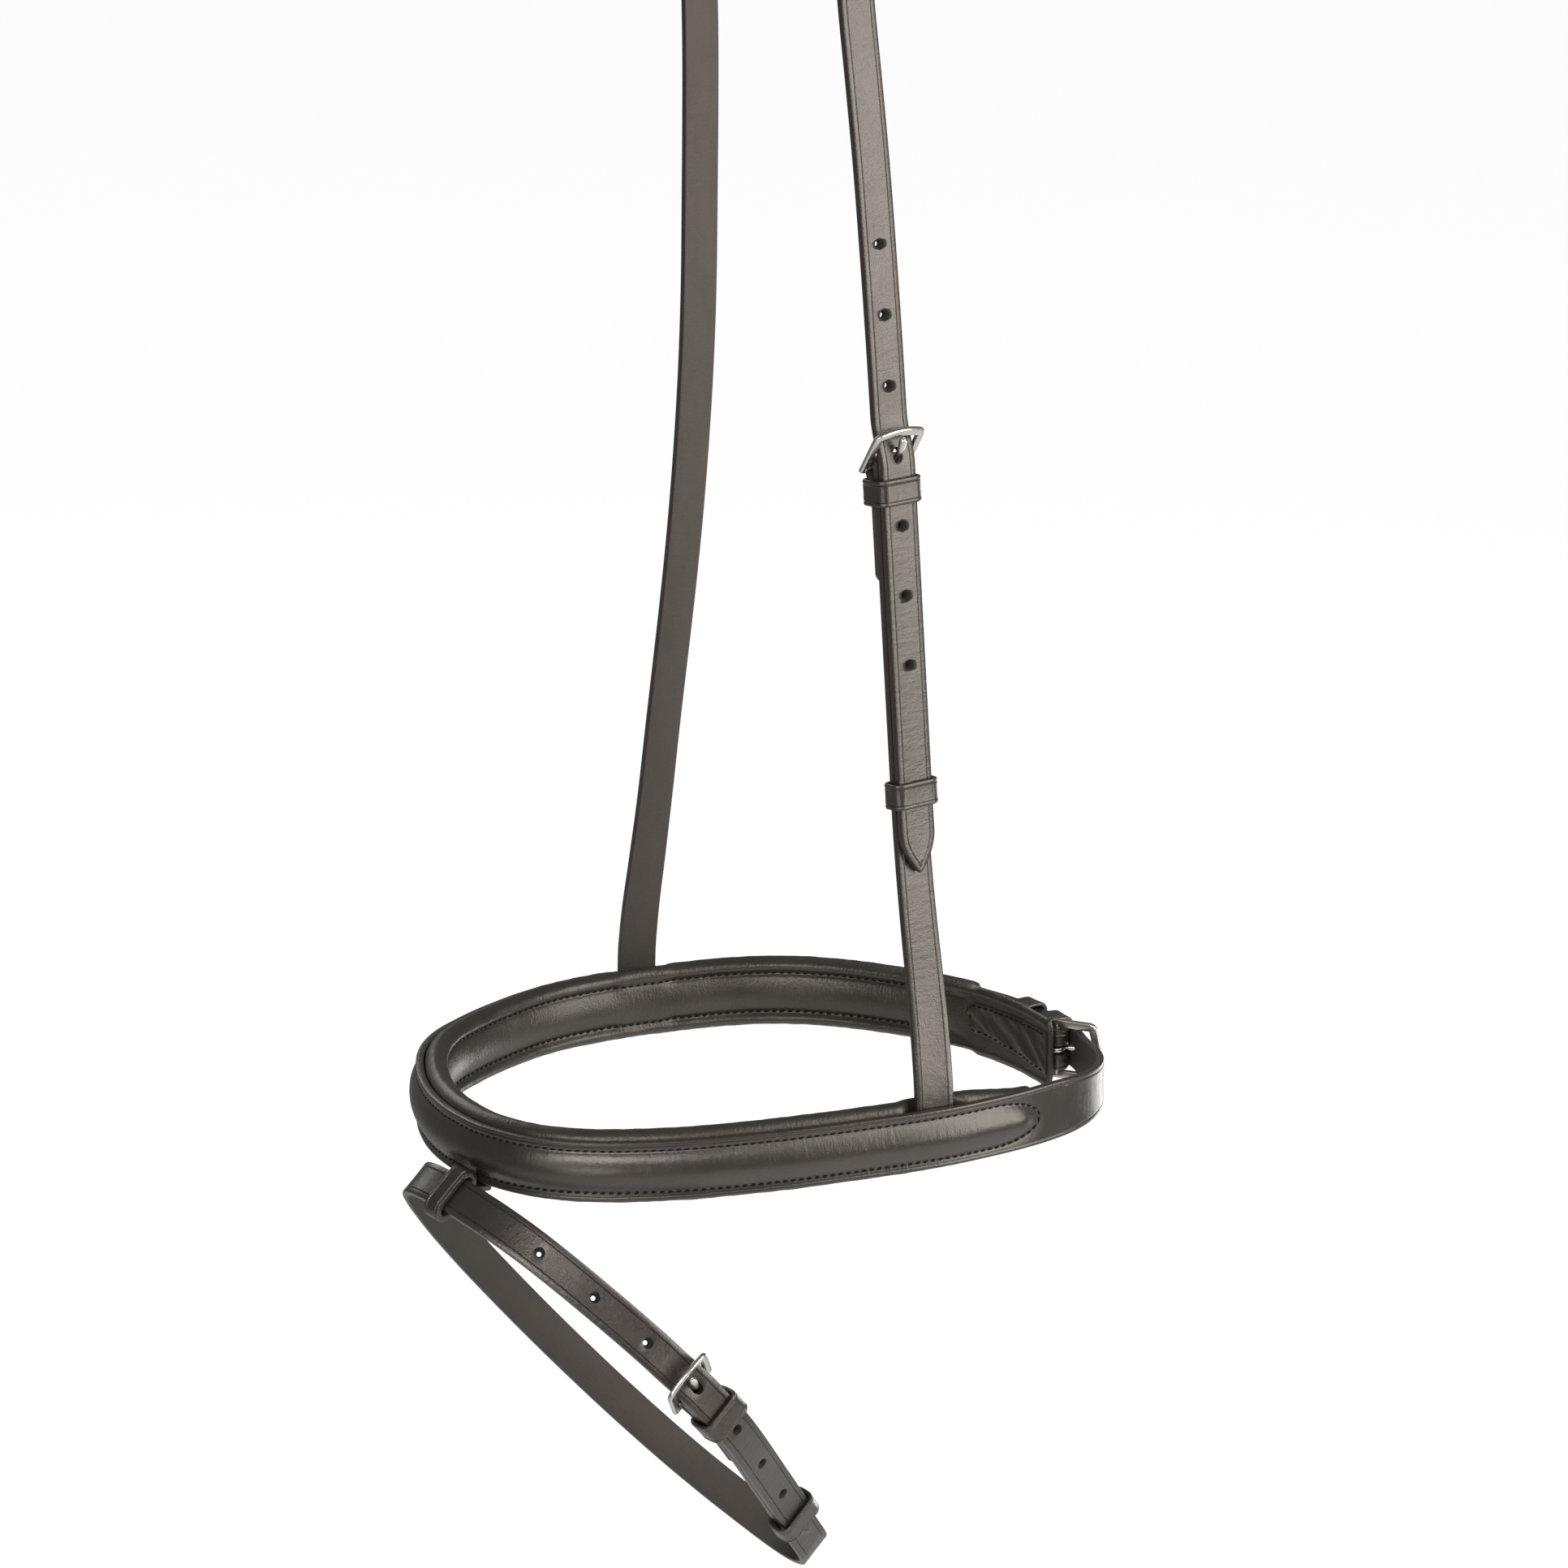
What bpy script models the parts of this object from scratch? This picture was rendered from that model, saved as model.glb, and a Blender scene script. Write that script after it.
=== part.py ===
"""A padded flash noseband for a riding bridle, hanging from the crown of its head strap.

The nose lies towards -X, the chin towards +X, the near (buckle) side towards -Y, and +Z is up.
The origin is the underside of the head strap at the crown, where the piece hangs.

Every strap is a flat leather pattern with its holes punched. It is scored across at stations
and then bent along a route. A route is drawn beside a guide line: s runs along the guide,
w outwards from it and v across the strap. All three buckles share one set of rules.
"""
import math

import bmesh
import bpy
import numpy as np
from mathutils import Matrix, Vector

COLLECTION = "flash_noseband"
CUTTERS = "flash_noseband_cutters"

# Clearances
GAP = 0.0003                      # between pieces that lie against each other
RUNNER_GAP = 0.0005               # round a strap inside a sliding runner
WINDOW_GAP = 0.0005               # between a strap's edge and its buckle's side rail
TONGUE_GAP = 0.0002               # between a tongue's hook and the buckle's bar

# Straps
HEAD_WIDTH = 0.0150
HEAD_THICKNESS = 0.0028
FLASH_WIDTH = 0.0140
FLASH_THICKNESS = 0.0030
NOSE_WIDTH = 0.0220               # the raised band
CHIN_WIDTH = 0.0155               # the band's two ends, at the chin buckle
NOSE_THICKNESS = 0.0030
EDGE_CHAMFER = 0.0005
TIP_LENGTH = 0.0150               # pointed end of a strap
HOLE_DIAMETER = 0.0042
HOLE_PITCH = 0.0250
HOLE_STRETCH = 1.40               # the hole in use is drawn longer by the tongue

# Buckles
BAR_RADIUS = 0.0014
RAIL_WIDTH = 0.0033
RAIL_THICKNESS = 0.0019
BUCKLE_REACH = 0.0148             # bar to the middle of the end rail
RAIL_BOW = 0.0012
BUCKLE_CORNER = 0.0035
BUCKLE_TILT = math.radians(38)
TONGUE_RADIUS = 0.00105
TONGUE_TIP_RADIUS = 0.0014
TONGUE_HOOK_START = math.radians(20)
TONGUE_HOOK_END = math.radians(96)
SLOT_WIDTH = 0.0036               # slot in the fold, where the tongue comes out
SLOT_REACH = 0.0050               # how far that slot runs past the bar on each side
SETTLE = 0.0100                   # beyond the bar the leathers lie flat again
RAMP = 0.0180                     # the strap end rises over the bar within this length
TAIL_LENGTH = 0.0430              # turned back behind the bar and sewn down
SKIVE = 0.55                      # the tail is thinned to this share of the leather

# Keepers and runners
KEEPER_WIDTH = 0.0094
KEEPER_THICKNESS = 0.0015
KEEPER_CORNER = 0.0012
KEEPER_FROM_BAR = 0.0088
FLASH_KEEPER_FROM_BAR = 0.0135
HEAD_RUNNER_FROM_BAR = 0.1180
HEAD_RUNNER_DROP = 0.0100         # it slides this far down, and up to the end of the tail
CHIN_RUNNER_FROM_BAR = 0.0260
FLASH_RUNNER_FROM_BAR = 0.0920
RUNNER_TRAVEL = 0.0040            # the chin and flash runners slide this far each way

# Head strap and cheek strap
CROWN_RADIUS = 0.0425             # middle of the leather over the hook
CROWN_SPREAD = math.radians(80)
CROWN_STEPS = 8
CROWN_FLAT = 0.0070               # it lies flat on the hook for this length
HANG_HEIGHT = 0.4620              # crown to the middle of the noseband
SEWN_DEPTH = 0.0060               # strap ends reach this far below the noseband's middle
SEWN_EXIT = 0.0140                # above its middle they leave it
SEWN_EASE = 0.0003                # room for a flat strap end in the noseband's curve
TWIST_LENGTH = 0.0900             # in which it turns from the noseband's line to the crown's
CHEEK_LENGTH = 0.2496             # sewn end to the cheek buckle's bar
HEAD_HOLES_ABOVE = 3
HEAD_HOLES_BELOW = 3
HEAD_TIP_BEYOND = 0.0755          # last hole to the tip
HEAD_ROUTE_FAR = ((0.0835, -0.4250), (0.0760, -0.3903), (0.0689, -0.3505), (0.0615, -0.3112),
                  (0.0548, -0.2726), (0.0492, -0.2300), (0.0452, -0.1794), (0.0442, -0.1300),
                  (0.0436, -0.0850))
HEAD_ROUTE_NEAR = ((-0.0453, -0.0597), (-0.0509, -0.0930), (-0.0558, -0.1267),
                   (-0.0599, -0.1606), (-0.0637, -0.1948), (-0.0662, -0.2220),
                   (-0.0721, -0.2860), (-0.0784, -0.3550), (-0.0834, -0.3890),
                   (-0.0900, -0.4280))

# Noseband ring
NOSEBAND_LENGTH = 0.2355          # nose to chin
NOSEBAND_WIDTH = 0.1980           # cheek to cheek
NOSEBAND_CENTRE = (-0.01965, -0.00200)
# The plan, in half lengths and half widths from the centre, from the chin buckle by the far side.
NOSEBAND_PLAN = ((0.975, -0.495), (1.000, -0.121), (0.905, 0.280), (0.639, 0.723), (0.231, 0.939),
                 (-0.128, 1.000), (-0.445, 0.922), (-0.686, 0.788), (-0.880, 0.530),
                 (-1.015, 0.115), (-0.977, -0.293), (-0.672, -0.636), (-0.185, -0.863),
                 (0.231, -0.985), (0.558, -1.000), (0.779, -0.934), (0.919, -0.747))
FAR_CHEEK = 0.1900                # from the chin bar round to the far cheek and to the nose
NOSE_FRONT = 0.3960
NEAR_CHEEK_BACK = 0.1278          # from the chin bar back to the near cheek
NEAR_PAD_BACK = 0.0828            # and to the near end of the lining
FAR_PAD_START = -0.0060           # the lining reaches past the bar, behind the buckle
RAISE = 0.0026                    # height of the raised middle
RAISED_WIDTH = 0.0146
RAISED_POINT = 0.0200             # length of the pointed ends of the raised part
FAR_RAISE_START = 0.0580
RAISE_SHORT_OF_PAD = 0.0020
CLIMB_LENGTH = 0.0180             # the strap end climbs onto the raised part
FAR_TAPER_START = 0.0400          # from the band's full width to its ends
FAR_TAPER = 0.0220
NEAR_TAPER = 0.0620
CHIN_HOLES_BELOW = 4
CHIN_TIP_BEYOND = 0.0320
FILLER_SHARE = 0.85               # of the raised width, at the filler's thin edge

# Lining
LINING_HEIGHT = 0.0272
LINING_THICKNESS = 0.0086
LINING_COVER = 0.0011
LINING_LIP = 0.0045               # half of the mouth that the sewn edges leave open
DENT_SPREAD = 0.0090              # a dent fades out over this length
DENT_SHARE = 0.35                 # of a dent's depth that shows on the other side

# Flash strap and its loop
FLASH_DROP = math.radians(50)     # slope of the strap's plane, down from the nose
FLASH_FORWARD = 0.0144            # the strap inside its loop, from the back of the band
FLASH_BELOW = 0.0124              # and below the band's middle
# The strap's own loop in that plane, from there: along the slope, then across it.
FLASH_PLAN = ((0.0000, 0.0000), (0.0039, -0.0115), (0.0122, -0.0273), (0.0402, -0.0513),
              (0.0722, -0.0674), (0.1004, -0.0716), (0.1394, -0.0622), (0.1684, -0.0530),
              (0.1940, -0.0452), (0.2080, -0.0385), (0.2115, -0.0280), (0.2040, -0.0135),
              (0.1784, 0.0092), (0.1344, 0.0280), (0.0754, 0.0378), (0.0214, 0.0333),
              (0.0010, 0.0205))
FLASH_BUCKLE = 0.1200             # from the flash loop along the strap to the bar
FLASH_HOLES_ABOVE = 3
FLASH_HOLES_BELOW = 3
FLASH_TIP_BEYOND = 0.0330         # last hole to the tip
LOOP_WIDTH = 0.0070
LOOP_THICKNESS = 0.0026
LOOP_ROOM = 0.0009
LOOP_CORNER = 0.0012
NECK_HEIGHT = 0.0050              # where the loop's neck leaves its back, above the middle
TAB_THICKNESS = 0.0028
TAB_DEPTH = 0.0080                # of the tab, sewn in above the band's lower edge
TAB_BELOW = 0.0118                # lower end of the tab, below the band's middle
HINGE_RADIUS = 0.0012

# Stations: a strap is scored where it has turned this far, or run this far
MAX_TURN = math.radians(11)
MAX_SPAN = 0.0300
NEAR_STATION = 0.0005             # stations are no closer than this
FOLD_STEPS = 7
HOOK_STEPS = 9
RAMP_STEPS = 6
TAPER_STEPS = 4

LEATHER = (0.052, 0.045, 0.040)
LINING_LEATHER = (0.045, 0.041, 0.034)
FOAM = (0.30, 0.29, 0.27)
NICKEL = (0.74, 0.71, 0.66)


def make_material(name, color, roughness, metallic):
    material = bpy.data.materials.new(name)
    material.use_nodes = True
    shader = material.node_tree.nodes["Principled BSDF"]
    shader.inputs["Base Color"].default_value = (*color, 1.0)
    shader.inputs["Roughness"].default_value = roughness
    shader.inputs["Metallic"].default_value = metallic
    return material


def smoothstep(x):
    x = min(max(x, 0.0), 1.0)
    return x * x * (3 - 2 * x)


# Guide lines

class Guide:
    """A smooth line through chosen points, cut into straight spans that all pieces share."""

    SAMPLE = 0.001

    def __init__(self, points, across, closed=False):
        self.closed = closed
        self.across = across
        knots = np.array([tuple(point) for point in points])
        if closed:
            knots = np.vstack([knots, knots[:1]])
        self.samples = self.sampled(knots)
        steps = np.linalg.norm(np.diff(self.samples, axis=0), axis=1)
        self.lengths = np.concatenate([[0.0], np.cumsum(steps)])
        self.length = float(self.lengths[-1])
        self.marks = []
        self.corners = []

    def sampled(self, knots):
        """Points every millimetre on the cubic spline through the knots."""
        spans = np.linalg.norm(np.diff(knots, axis=0), axis=1)
        bends = self.second_derivatives(knots, spans)
        samples = [knots[0]]
        for i, span in enumerate(spans):
            count = max(2, round(span / self.SAMPLE))
            for j in range(1, count + 1):
                b = j / count
                a = 1 - b
                bend = ((a ** 3 - a) * bends[i] + (b ** 3 - b) * bends[i + 1]) * span ** 2 / 6
                samples.append(a * knots[i] + b * knots[i + 1] + bend)
        return np.array(samples)

    def second_derivatives(self, knots, spans):
        count = len(knots)
        matrix = np.zeros((count, count))
        target = np.zeros((count, 3))
        slopes = np.diff(knots, axis=0) / spans[:, None]
        for i in range(1, count - 1):
            matrix[i, i - 1:i + 2] = spans[i - 1], 2 * (spans[i - 1] + spans[i]), spans[i]
            target[i] = 6 * (slopes[i] - slopes[i - 1])
        matrix[0, 0] = 1
        matrix[-1, -1] = 1
        if self.closed:
            matrix[0, -1] = -1
            matrix[-1, 0] = 0
            matrix[-1, -2] = spans[-1]
            matrix[-1, -1] = 2 * (spans[-1] + spans[0])
            matrix[-1, 1] = spans[0]
            target[-1] = 6 * (slopes[0] - slopes[-1])
        return np.linalg.solve(matrix, target)

    def smooth_point(self, s):
        if self.closed:
            s = s % self.length
        return Vector([np.interp(s, self.lengths, self.samples[:, i]) for i in range(3)])

    def cut_spans(self, flats):
        """Cuts the guide into spans: the flat stretches, and shorter ones between them.

        flats are the stretches (from s, to s) that stay straight, because something rigid
        lies there. An open guide starts and ends with one, a closed guide has one round 0.
        """
        if self.closed:
            flats = flats + [(flats[0][0] + self.length, flats[0][1] + self.length)]
        for (_, low), (high, _) in zip(flats, flats[1:]):
            self.marks += self.spread_marks(low, high)
        if not self.closed:
            self.marks = [0.0] + self.marks + [self.length]
        self.corners = self.find_corners()

    def spread_marks(self, low, high):
        """Marks from low to high, spread by turn or by length, whichever asks for more."""
        steps = np.linspace(low, high, max(3, round((high - low) / self.SAMPLE)))
        points = [self.smooth_point(s) for s in steps]
        headings = [b - a for a, b in zip(points, points[1:])]
        share = (steps[1] - steps[0]) / MAX_SPAN
        costs = [share]
        for a, b in zip(headings, headings[1:]):
            costs.append(costs[-1] + max(a.angle(b) / MAX_TURN, share))
        costs = [0.0] + costs
        count = math.ceil(costs[-1])
        return [float(np.interp(costs[-1] * i / count, costs, steps)) for i in range(count + 1)]

    def find_corners(self):
        """Point, across and mitred outward direction at every mark."""
        points = [self.smooth_point(s) for s in self.marks]
        headings = [b - a for a, b in zip(points, points[1:])]
        if self.closed:
            closing = points[0] - points[-1]
            headings = [closing] + headings + [closing]
        else:
            headings = [headings[0]] + headings + [headings[-1]]
        corners = []
        for s, point, before, after in zip(self.marks, points, headings, headings[1:]):
            across = self.across(s)
            along = (before.normalized() + after.normalized()).normalized()
            across = (across - across.dot(along) * along).normalized()
            sides = [heading.cross(across).normalized() for heading in (before, after)]
            middle = (sides[0] + sides[1]).normalized()
            corners.append((point, across, middle / middle.dot(sides[0])))
        return corners

    def span(self, s):
        """The corners at both ends of the span that s is in, and its share of that span."""
        marks, corners = self.marks, self.corners
        if self.closed:
            s = (s - marks[0]) % self.length + marks[0]
            marks = marks + [marks[0] + self.length]
            corners = corners + corners[:1]
        i = int(np.clip(np.searchsorted(marks, s) - 1, 0, len(marks) - 2))
        return corners[i], corners[i + 1], (s - marks[i]) / (marks[i + 1] - marks[i])

    def place(self, s, w, v):
        """The point at s, w outwards from the guide and v across it."""
        a, b, share = self.span(s)
        start = a[0] + v * a[1] + w * a[2]
        end = b[0] + v * b[1] + w * b[2]
        return start.lerp(end, share)

    def frame(self, s):
        """Tangent, across and outward directions at s."""
        a, b, share = self.span(s)
        tangent = (b[0] - a[0]).normalized()
        across = a[1].lerp(b[1], share)
        across = (across - across.dot(tangent) * tangent).normalized()
        return tangent, across, tangent.cross(across)

    def stations(self, low, high):
        """The marks between two lengths; a closed guide repeats them on every lap."""
        laps = (0,)
        if self.closed:
            laps = range(math.floor(low / self.length) - 1, math.ceil(high / self.length) + 1)
        marks = [mark + lap * self.length for lap in laps for mark in self.marks]
        return [s for s in marks if low + NEAR_STATION < s < high - NEAR_STATION]

    def matrix(self, s, w=0.0):
        """Places a piece whose X runs along the guide, Y across it and Z outwards."""
        matrix = Matrix(self.frame(s)).transposed().to_4x4()
        matrix.translation = self.place(s, w, 0.0)
        return matrix


# Routes beside a guide

class Route:
    """The middle of a strap's thickness, as points (s, w). u is the length along it."""

    def __init__(self, guide, points):
        self.guide = guide
        self.points = [Vector(points[0])]
        for point in points[1:]:
            self.run_to(Vector(point))
        steps = [(b - a).length for a, b in zip(self.points, self.points[1:])]
        self.marks = [0.0]
        for step in steps:
            self.marks.append(self.marks[-1] + step)
        self.length = self.marks[-1]
        self.normals = self.mitred_normals()

    def run_to(self, point):
        """Goes straight on to a point, with a stop at each of the guide's stations."""
        start = self.points[-1]
        stations = self.guide.stations(min(start.x, point.x), max(start.x, point.x))
        if point.x < start.x:
            stations = stations[::-1]
        for s in stations:
            self.points.append(start.lerp(point, (s - start.x) / (point.x - start.x)))
        self.points.append(point)

    def mitred_normals(self):
        sides = []
        for a, b in zip(self.points, self.points[1:]):
            along = (b - a).normalized()
            sides.append(Vector((-along.y, along.x)))
        normals = [sides[0]]
        for a, b in zip(sides, sides[1:]):
            middle = (a + b).normalized()
            normals.append(middle / middle.dot(a))
        return normals + [sides[-1]]

    def bend(self, u, v, d):
        """Where a point of the flat pattern goes: u along, v across, d above the middle."""
        i = int(np.clip(np.searchsorted(self.marks, u) - 1, 0, len(self.marks) - 2))
        share = (u - self.marks[i]) / (self.marks[i + 1] - self.marks[i])
        point = self.points[i].lerp(self.points[i + 1], share)
        normal = self.normals[i].lerp(self.normals[i + 1], share)
        s, w = point + d * normal
        return self.guide.place(s, w, v)

    def level(self, u):
        """The level w at the length u."""
        return float(np.interp(u, self.marks, [point.y for point in self.points]))

    def at(self, s):
        """The length u at which the last run passes s."""
        for i in range(len(self.points) - 1, 0, -1):
            a, b = self.points[i - 1], self.points[i]
            if a.x <= s <= b.x:
                return self.marks[i - 1] + (s - a.x) / (b.x - a.x) * (b - a).length
        return self.length


class Buckle:
    """The rules that a bar, the leather folded round it and the strap over it share.

    The strap folds back under itself round the bar, and its tail is thinned. Its outer side
    stays straight, so the strap end passes flat over the fold.
    """

    def __init__(self, guide, bar, thickness, main_level):
        self.guide = guide
        self.bar = bar
        self.thickness = thickness
        self.main_level = main_level
        self.tail_thickness = thickness * SKIVE
        self.tail_level = main_level - (thickness + self.tail_thickness) / 2 - GAP
        self.fold_radius = BAR_RADIUS + GAP + thickness / 2
        self.tail_radius = BAR_RADIUS + GAP + self.tail_thickness / 2
        self.level = main_level - self.fold_radius
        self.over_main = main_level + thickness + GAP
        self.fold_length = math.pi * (self.fold_radius + self.tail_radius) / 2

    def spread(self, distance):
        """How far the tail still stands off the strap, past the bar."""
        drop = self.tail_level - (self.level - self.tail_radius)
        return drop * max(0.0, 1 - distance / SETTLE)

    def skive(self, u):
        """Share of the full thickness at u along the folded strap."""
        start = TAIL_LENGTH - SETTLE + tail_run(self)
        share = smoothstep((u - start) / self.fold_length)
        return SKIVE + (1 - SKIVE) * share

    def fold(self, tail_length):
        """From the end of the tail, back to the bar, round it and on to the main run."""
        points = [(self.bar + tail_length, self.tail_level),
                  (self.bar + SETTLE, self.tail_level)]
        for i in range(FOLD_STEPS + 1):
            share = i / FOLD_STEPS
            angle = math.pi * (1.5 - share)
            radius = self.tail_radius + (self.fold_radius - self.tail_radius) * share
            points.append((self.bar + radius * math.cos(angle),
                           self.level + radius * math.sin(angle)))
        points.append((self.bar + SETTLE, self.main_level))
        return points

    def over(self, bar, low_level, reach, climb=()):
        """From under the end rail up over the bar, and on along the main run.

        climb lists what the strap end rides up on beyond: (distance from the bar, height).
        """
        points = []
        for i in range(RAMP_STEPS + 1):
            share = i / RAMP_STEPS
            rise = smoothstep(share) * (self.over_main - low_level)
            points.append((bar - RAMP * (1 - share), low_level + rise))
        points += [(bar + distance, self.over_main + height) for distance, height in climb]
        points.append((bar + reach, points[-1][1]))
        return points

    def buckled_route(self, start, bar, low_level, beyond, climb=()):
        """The route from start over the bar, and the u of the hole that the tongue is in.

        beyond is the length from that hole to the tip.
        """
        over = self.over(bar, low_level, beyond, climb)
        probe = Route(self.guide, start + over)
        used = self.tongue_crossing(probe, bar)
        end, level = over.pop()
        over.append((end - (probe.length - used - beyond), level))
        return Route(self.guide, start + over), used

    def tongue_crossing(self, route, bar):
        """The length u of a strap's route at which the tongue goes through it."""
        cos, sin = math.cos(BUCKLE_TILT), math.sin(BUCKLE_TILT)
        line = tongue_rise()
        for (x1, z1), (x2, z2) in zip(line, line[1:]):
            for i in range(20):
                x = x1 + (x2 - x1) * i / 20
                z = z1 + (z2 - z1) * i / 20
                u = route.at(bar - x * cos + z * sin)
                if self.level + x * sin + z * cos > route.level(u):
                    return u
        return route.at(bar)


# Mesh helpers

def mesh_from_curve(curve):
    """The mesh of a curve, its caps welded on and its flat faces whole."""
    obj = bpy.data.objects.new(curve.name, curve)
    bpy.context.scene.collection.objects.link(obj)
    graph = bpy.context.evaluated_depsgraph_get()
    mesh = bpy.data.meshes.new_from_object(obj.evaluated_get(graph))
    bpy.data.objects.remove(obj)
    bpy.data.curves.remove(curve)
    bm = bmesh.new()
    bm.from_mesh(mesh)
    bpy.data.meshes.remove(mesh)
    bmesh.ops.remove_doubles(bm, verts=bm.verts, dist=0.000001)
    return bm


def flat_blank(name, outlines, thickness, chamfer, segments=1):
    """A plate in the XY plane, cut to its outlines, with bevelled edges."""
    curve = bpy.data.curves.new(name, "CURVE")
    curve.dimensions = "2D"
    curve.fill_mode = "BOTH"
    curve.extrude = thickness / 2
    for outline in outlines:
        spline = curve.splines.new("POLY")
        spline.points.add(len(outline) - 1)
        for point, (x, y) in zip(spline.points, outline):
            point.co = (x, y, 0.0, 1.0)
        spline.use_cyclic_u = True
    bm = mesh_from_curve(curve)
    inner = [edge for edge in bm.edges if caps_beside(edge) == 2]
    bmesh.ops.dissolve_edges(bm, edges=inner, use_verts=False)
    bmesh.ops.recalc_face_normals(bm, faces=bm.faces)
    if chamfer:
        rim = [edge for edge in bm.edges if caps_beside(edge) == 1]
        bmesh.ops.bevel(bm, geom=rim, offset=chamfer, offset_type="OFFSET", segments=segments,
                        profile=0.5, affect="EDGES", clamp_overlap=False, material=-1)
    return bm


def caps_beside(edge):
    """How many of an edge's faces belong to the top or bottom of its plate."""
    return sum(all(vert.co.z * edge.verts[0].co.z > 0 for vert in face.verts)
               for face in edge.link_faces)


def split_large_faces(bm):
    bmesh.ops.triangulate(bm, faces=[face for face in bm.faces if len(face.verts) > 4])


def object_from(bm, name, material, collection=COLLECTION):
    mesh = bpy.data.meshes.new(name)
    split_large_faces(bm)
    bm.to_mesh(mesh)
    bm.free()
    mesh.materials.append(material)
    mesh.shade_smooth()
    mesh.set_sharp_from_angle(angle=math.radians(35))
    obj = bpy.data.objects.new(name, mesh)
    bpy.data.collections[collection].objects.link(obj)
    return obj


def combined(bm, tool, operation):
    """The first bmesh cut by the second, or joined to it."""
    objects = []
    for part in (bm, tool):
        mesh = bpy.data.meshes.new("solid")
        part.to_mesh(mesh)
        part.free()
        obj = bpy.data.objects.new("solid", mesh)
        obj.hide_render = True
        obj.display_type = "WIRE"
        bpy.data.collections[CUTTERS].objects.link(obj)
        objects.append(obj)
    body, cutter = objects
    modifier = body.modifiers.new("combine", "BOOLEAN")
    modifier.operation = operation
    modifier.object = cutter
    graph = bpy.context.evaluated_depsgraph_get()
    mesh = bpy.data.meshes.new_from_object(body.evaluated_get(graph))
    result = bmesh.new()
    result.from_mesh(mesh)
    for obj in objects:
        bpy.data.objects.remove(obj)
    return result


def punches(holes, height):
    """Round punches of one strap: each hole is its u and its half length and half width."""
    bm = bmesh.new()
    for u, half_length, half_width in holes:
        ring = bmesh.ops.create_cone(bm, cap_ends=True, segments=12, radius1=1.0, radius2=1.0,
                                     depth=height)
        bmesh.ops.scale(bm, vec=(half_length, half_width, 1), verts=ring["verts"])
        bmesh.ops.translate(bm, vec=(u, 0, 0), verts=ring["verts"])
    return bm


def score(bm, marks, normal, low=-math.inf, high=math.inf):
    """Cuts edges right across a blank, or across its part from low to high, to bend there."""
    for mark in marks:
        faces = [face for face in bm.faces if low < face.calc_center_median().x < high]
        edges = {edge for face in faces for edge in face.edges}
        verts = {vert for face in faces for vert in face.verts}
        bmesh.ops.bisect_plane(bm, geom=list(verts) + list(edges) + faces, dist=0.00001,
                               plane_co=normal * mark, plane_no=normal)


def strap_outline(length, half_widths, tip):
    """A strap from above: square at u = 0, pointed like a gothic arch at the far end.

    half_widths lists (u, half width) where it starts and wherever its taper changes. tip is
    the length of the point, or 0 for a round end.
    """
    first = half_widths[0][1]
    last = half_widths[-1][1]
    points = [(0.0, first * 0.5), (first * 0.5, first)] + half_widths[1:]
    end = length - (tip or last)
    points.append((end, last))
    for i in range(1, 6):
        share = i / 6
        if tip:
            points.append((end + tip * share, last * math.cos(share * math.pi / 2) ** 0.8))
        else:
            angle = share * math.pi / 2
            points.append((end + last * math.sin(angle), last * math.cos(angle)))
    points.append((length, 0.0))
    return points + [(u, -v) for u, v in reversed(points[:-1])]


def strap(name, route, thickness, half_widths, material, holes=(), tip=TIP_LENGTH,
          skive=None, raised_part=None):
    """A leather strap: blank, punched, scored and bent along its route.

    skive(u) is the share of the thickness that is left at u.
    raised_part is (marks, rows, lift): from the first to the last of its marks the leather is
    also scored along the lines v in rows, and lift(u, v) raises it.
    """
    bm = flat_blank(name, [strap_outline(route.length, half_widths, tip)], thickness,
                    EDGE_CHAMFER)
    score(bm, route.marks[1:-1], Vector((1, 0, 0)))
    if raised_part:
        marks, rows, lift = raised_part
        score(bm, marks, Vector((1, 0, 0)))
        score(bm, rows, Vector((0, 1, 0)), marks[0], marks[-1])
    if holes:
        bm = combined(bm, punches(holes, thickness * 2), "DIFFERENCE")
    split_large_faces(bm)
    for vert in bm.verts:
        u, v, d = vert.co
        if skive:
            d *= skive(u)
        if raised_part:
            d += lift(u, v)
        vert.co = route.bend(u, v, d)
    return object_from(bm, name, material)


def loft(name, sections, material):
    """A solid through closed sections of equal count, each a list of points."""
    bm = bmesh.new()
    rings = [[bm.verts.new(point) for point in section] for section in sections]
    for a, b in zip(rings, rings[1:]):
        for i in range(len(a)):
            j = (i + 1) % len(a)
            bm.faces.new((a[i], a[j], b[j], b[i]))
    bm.faces.new(list(reversed(rings[0])))
    bm.faces.new(rings[-1])
    bmesh.ops.recalc_face_normals(bm, faces=bm.faces)
    return object_from(bm, name, material)


def rounded_box_outline(half_x, half_y, radius, steps=3):
    points = []
    for quarter, (sx, sy) in enumerate(((1, 1), (-1, 1), (-1, -1), (1, -1))):
        for i in range(steps + 1):
            angle = (quarter + i / steps) * math.pi / 2
            points.append((sx * (half_x - radius) + radius * math.cos(angle),
                           sy * (half_y - radius) + radius * math.sin(angle)))
    return points


def closed_curve(name, outline):
    curve = bpy.data.curves.new(name, "CURVE")
    curve.dimensions = "3D"
    spline = curve.splines.new("POLY")
    spline.points.add(len(outline) - 1)
    for point, (x, y) in zip(spline.points, outline):
        point.co = (x, y, 0.0, 1.0)
    spline.use_cyclic_u = True
    return curve


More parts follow.
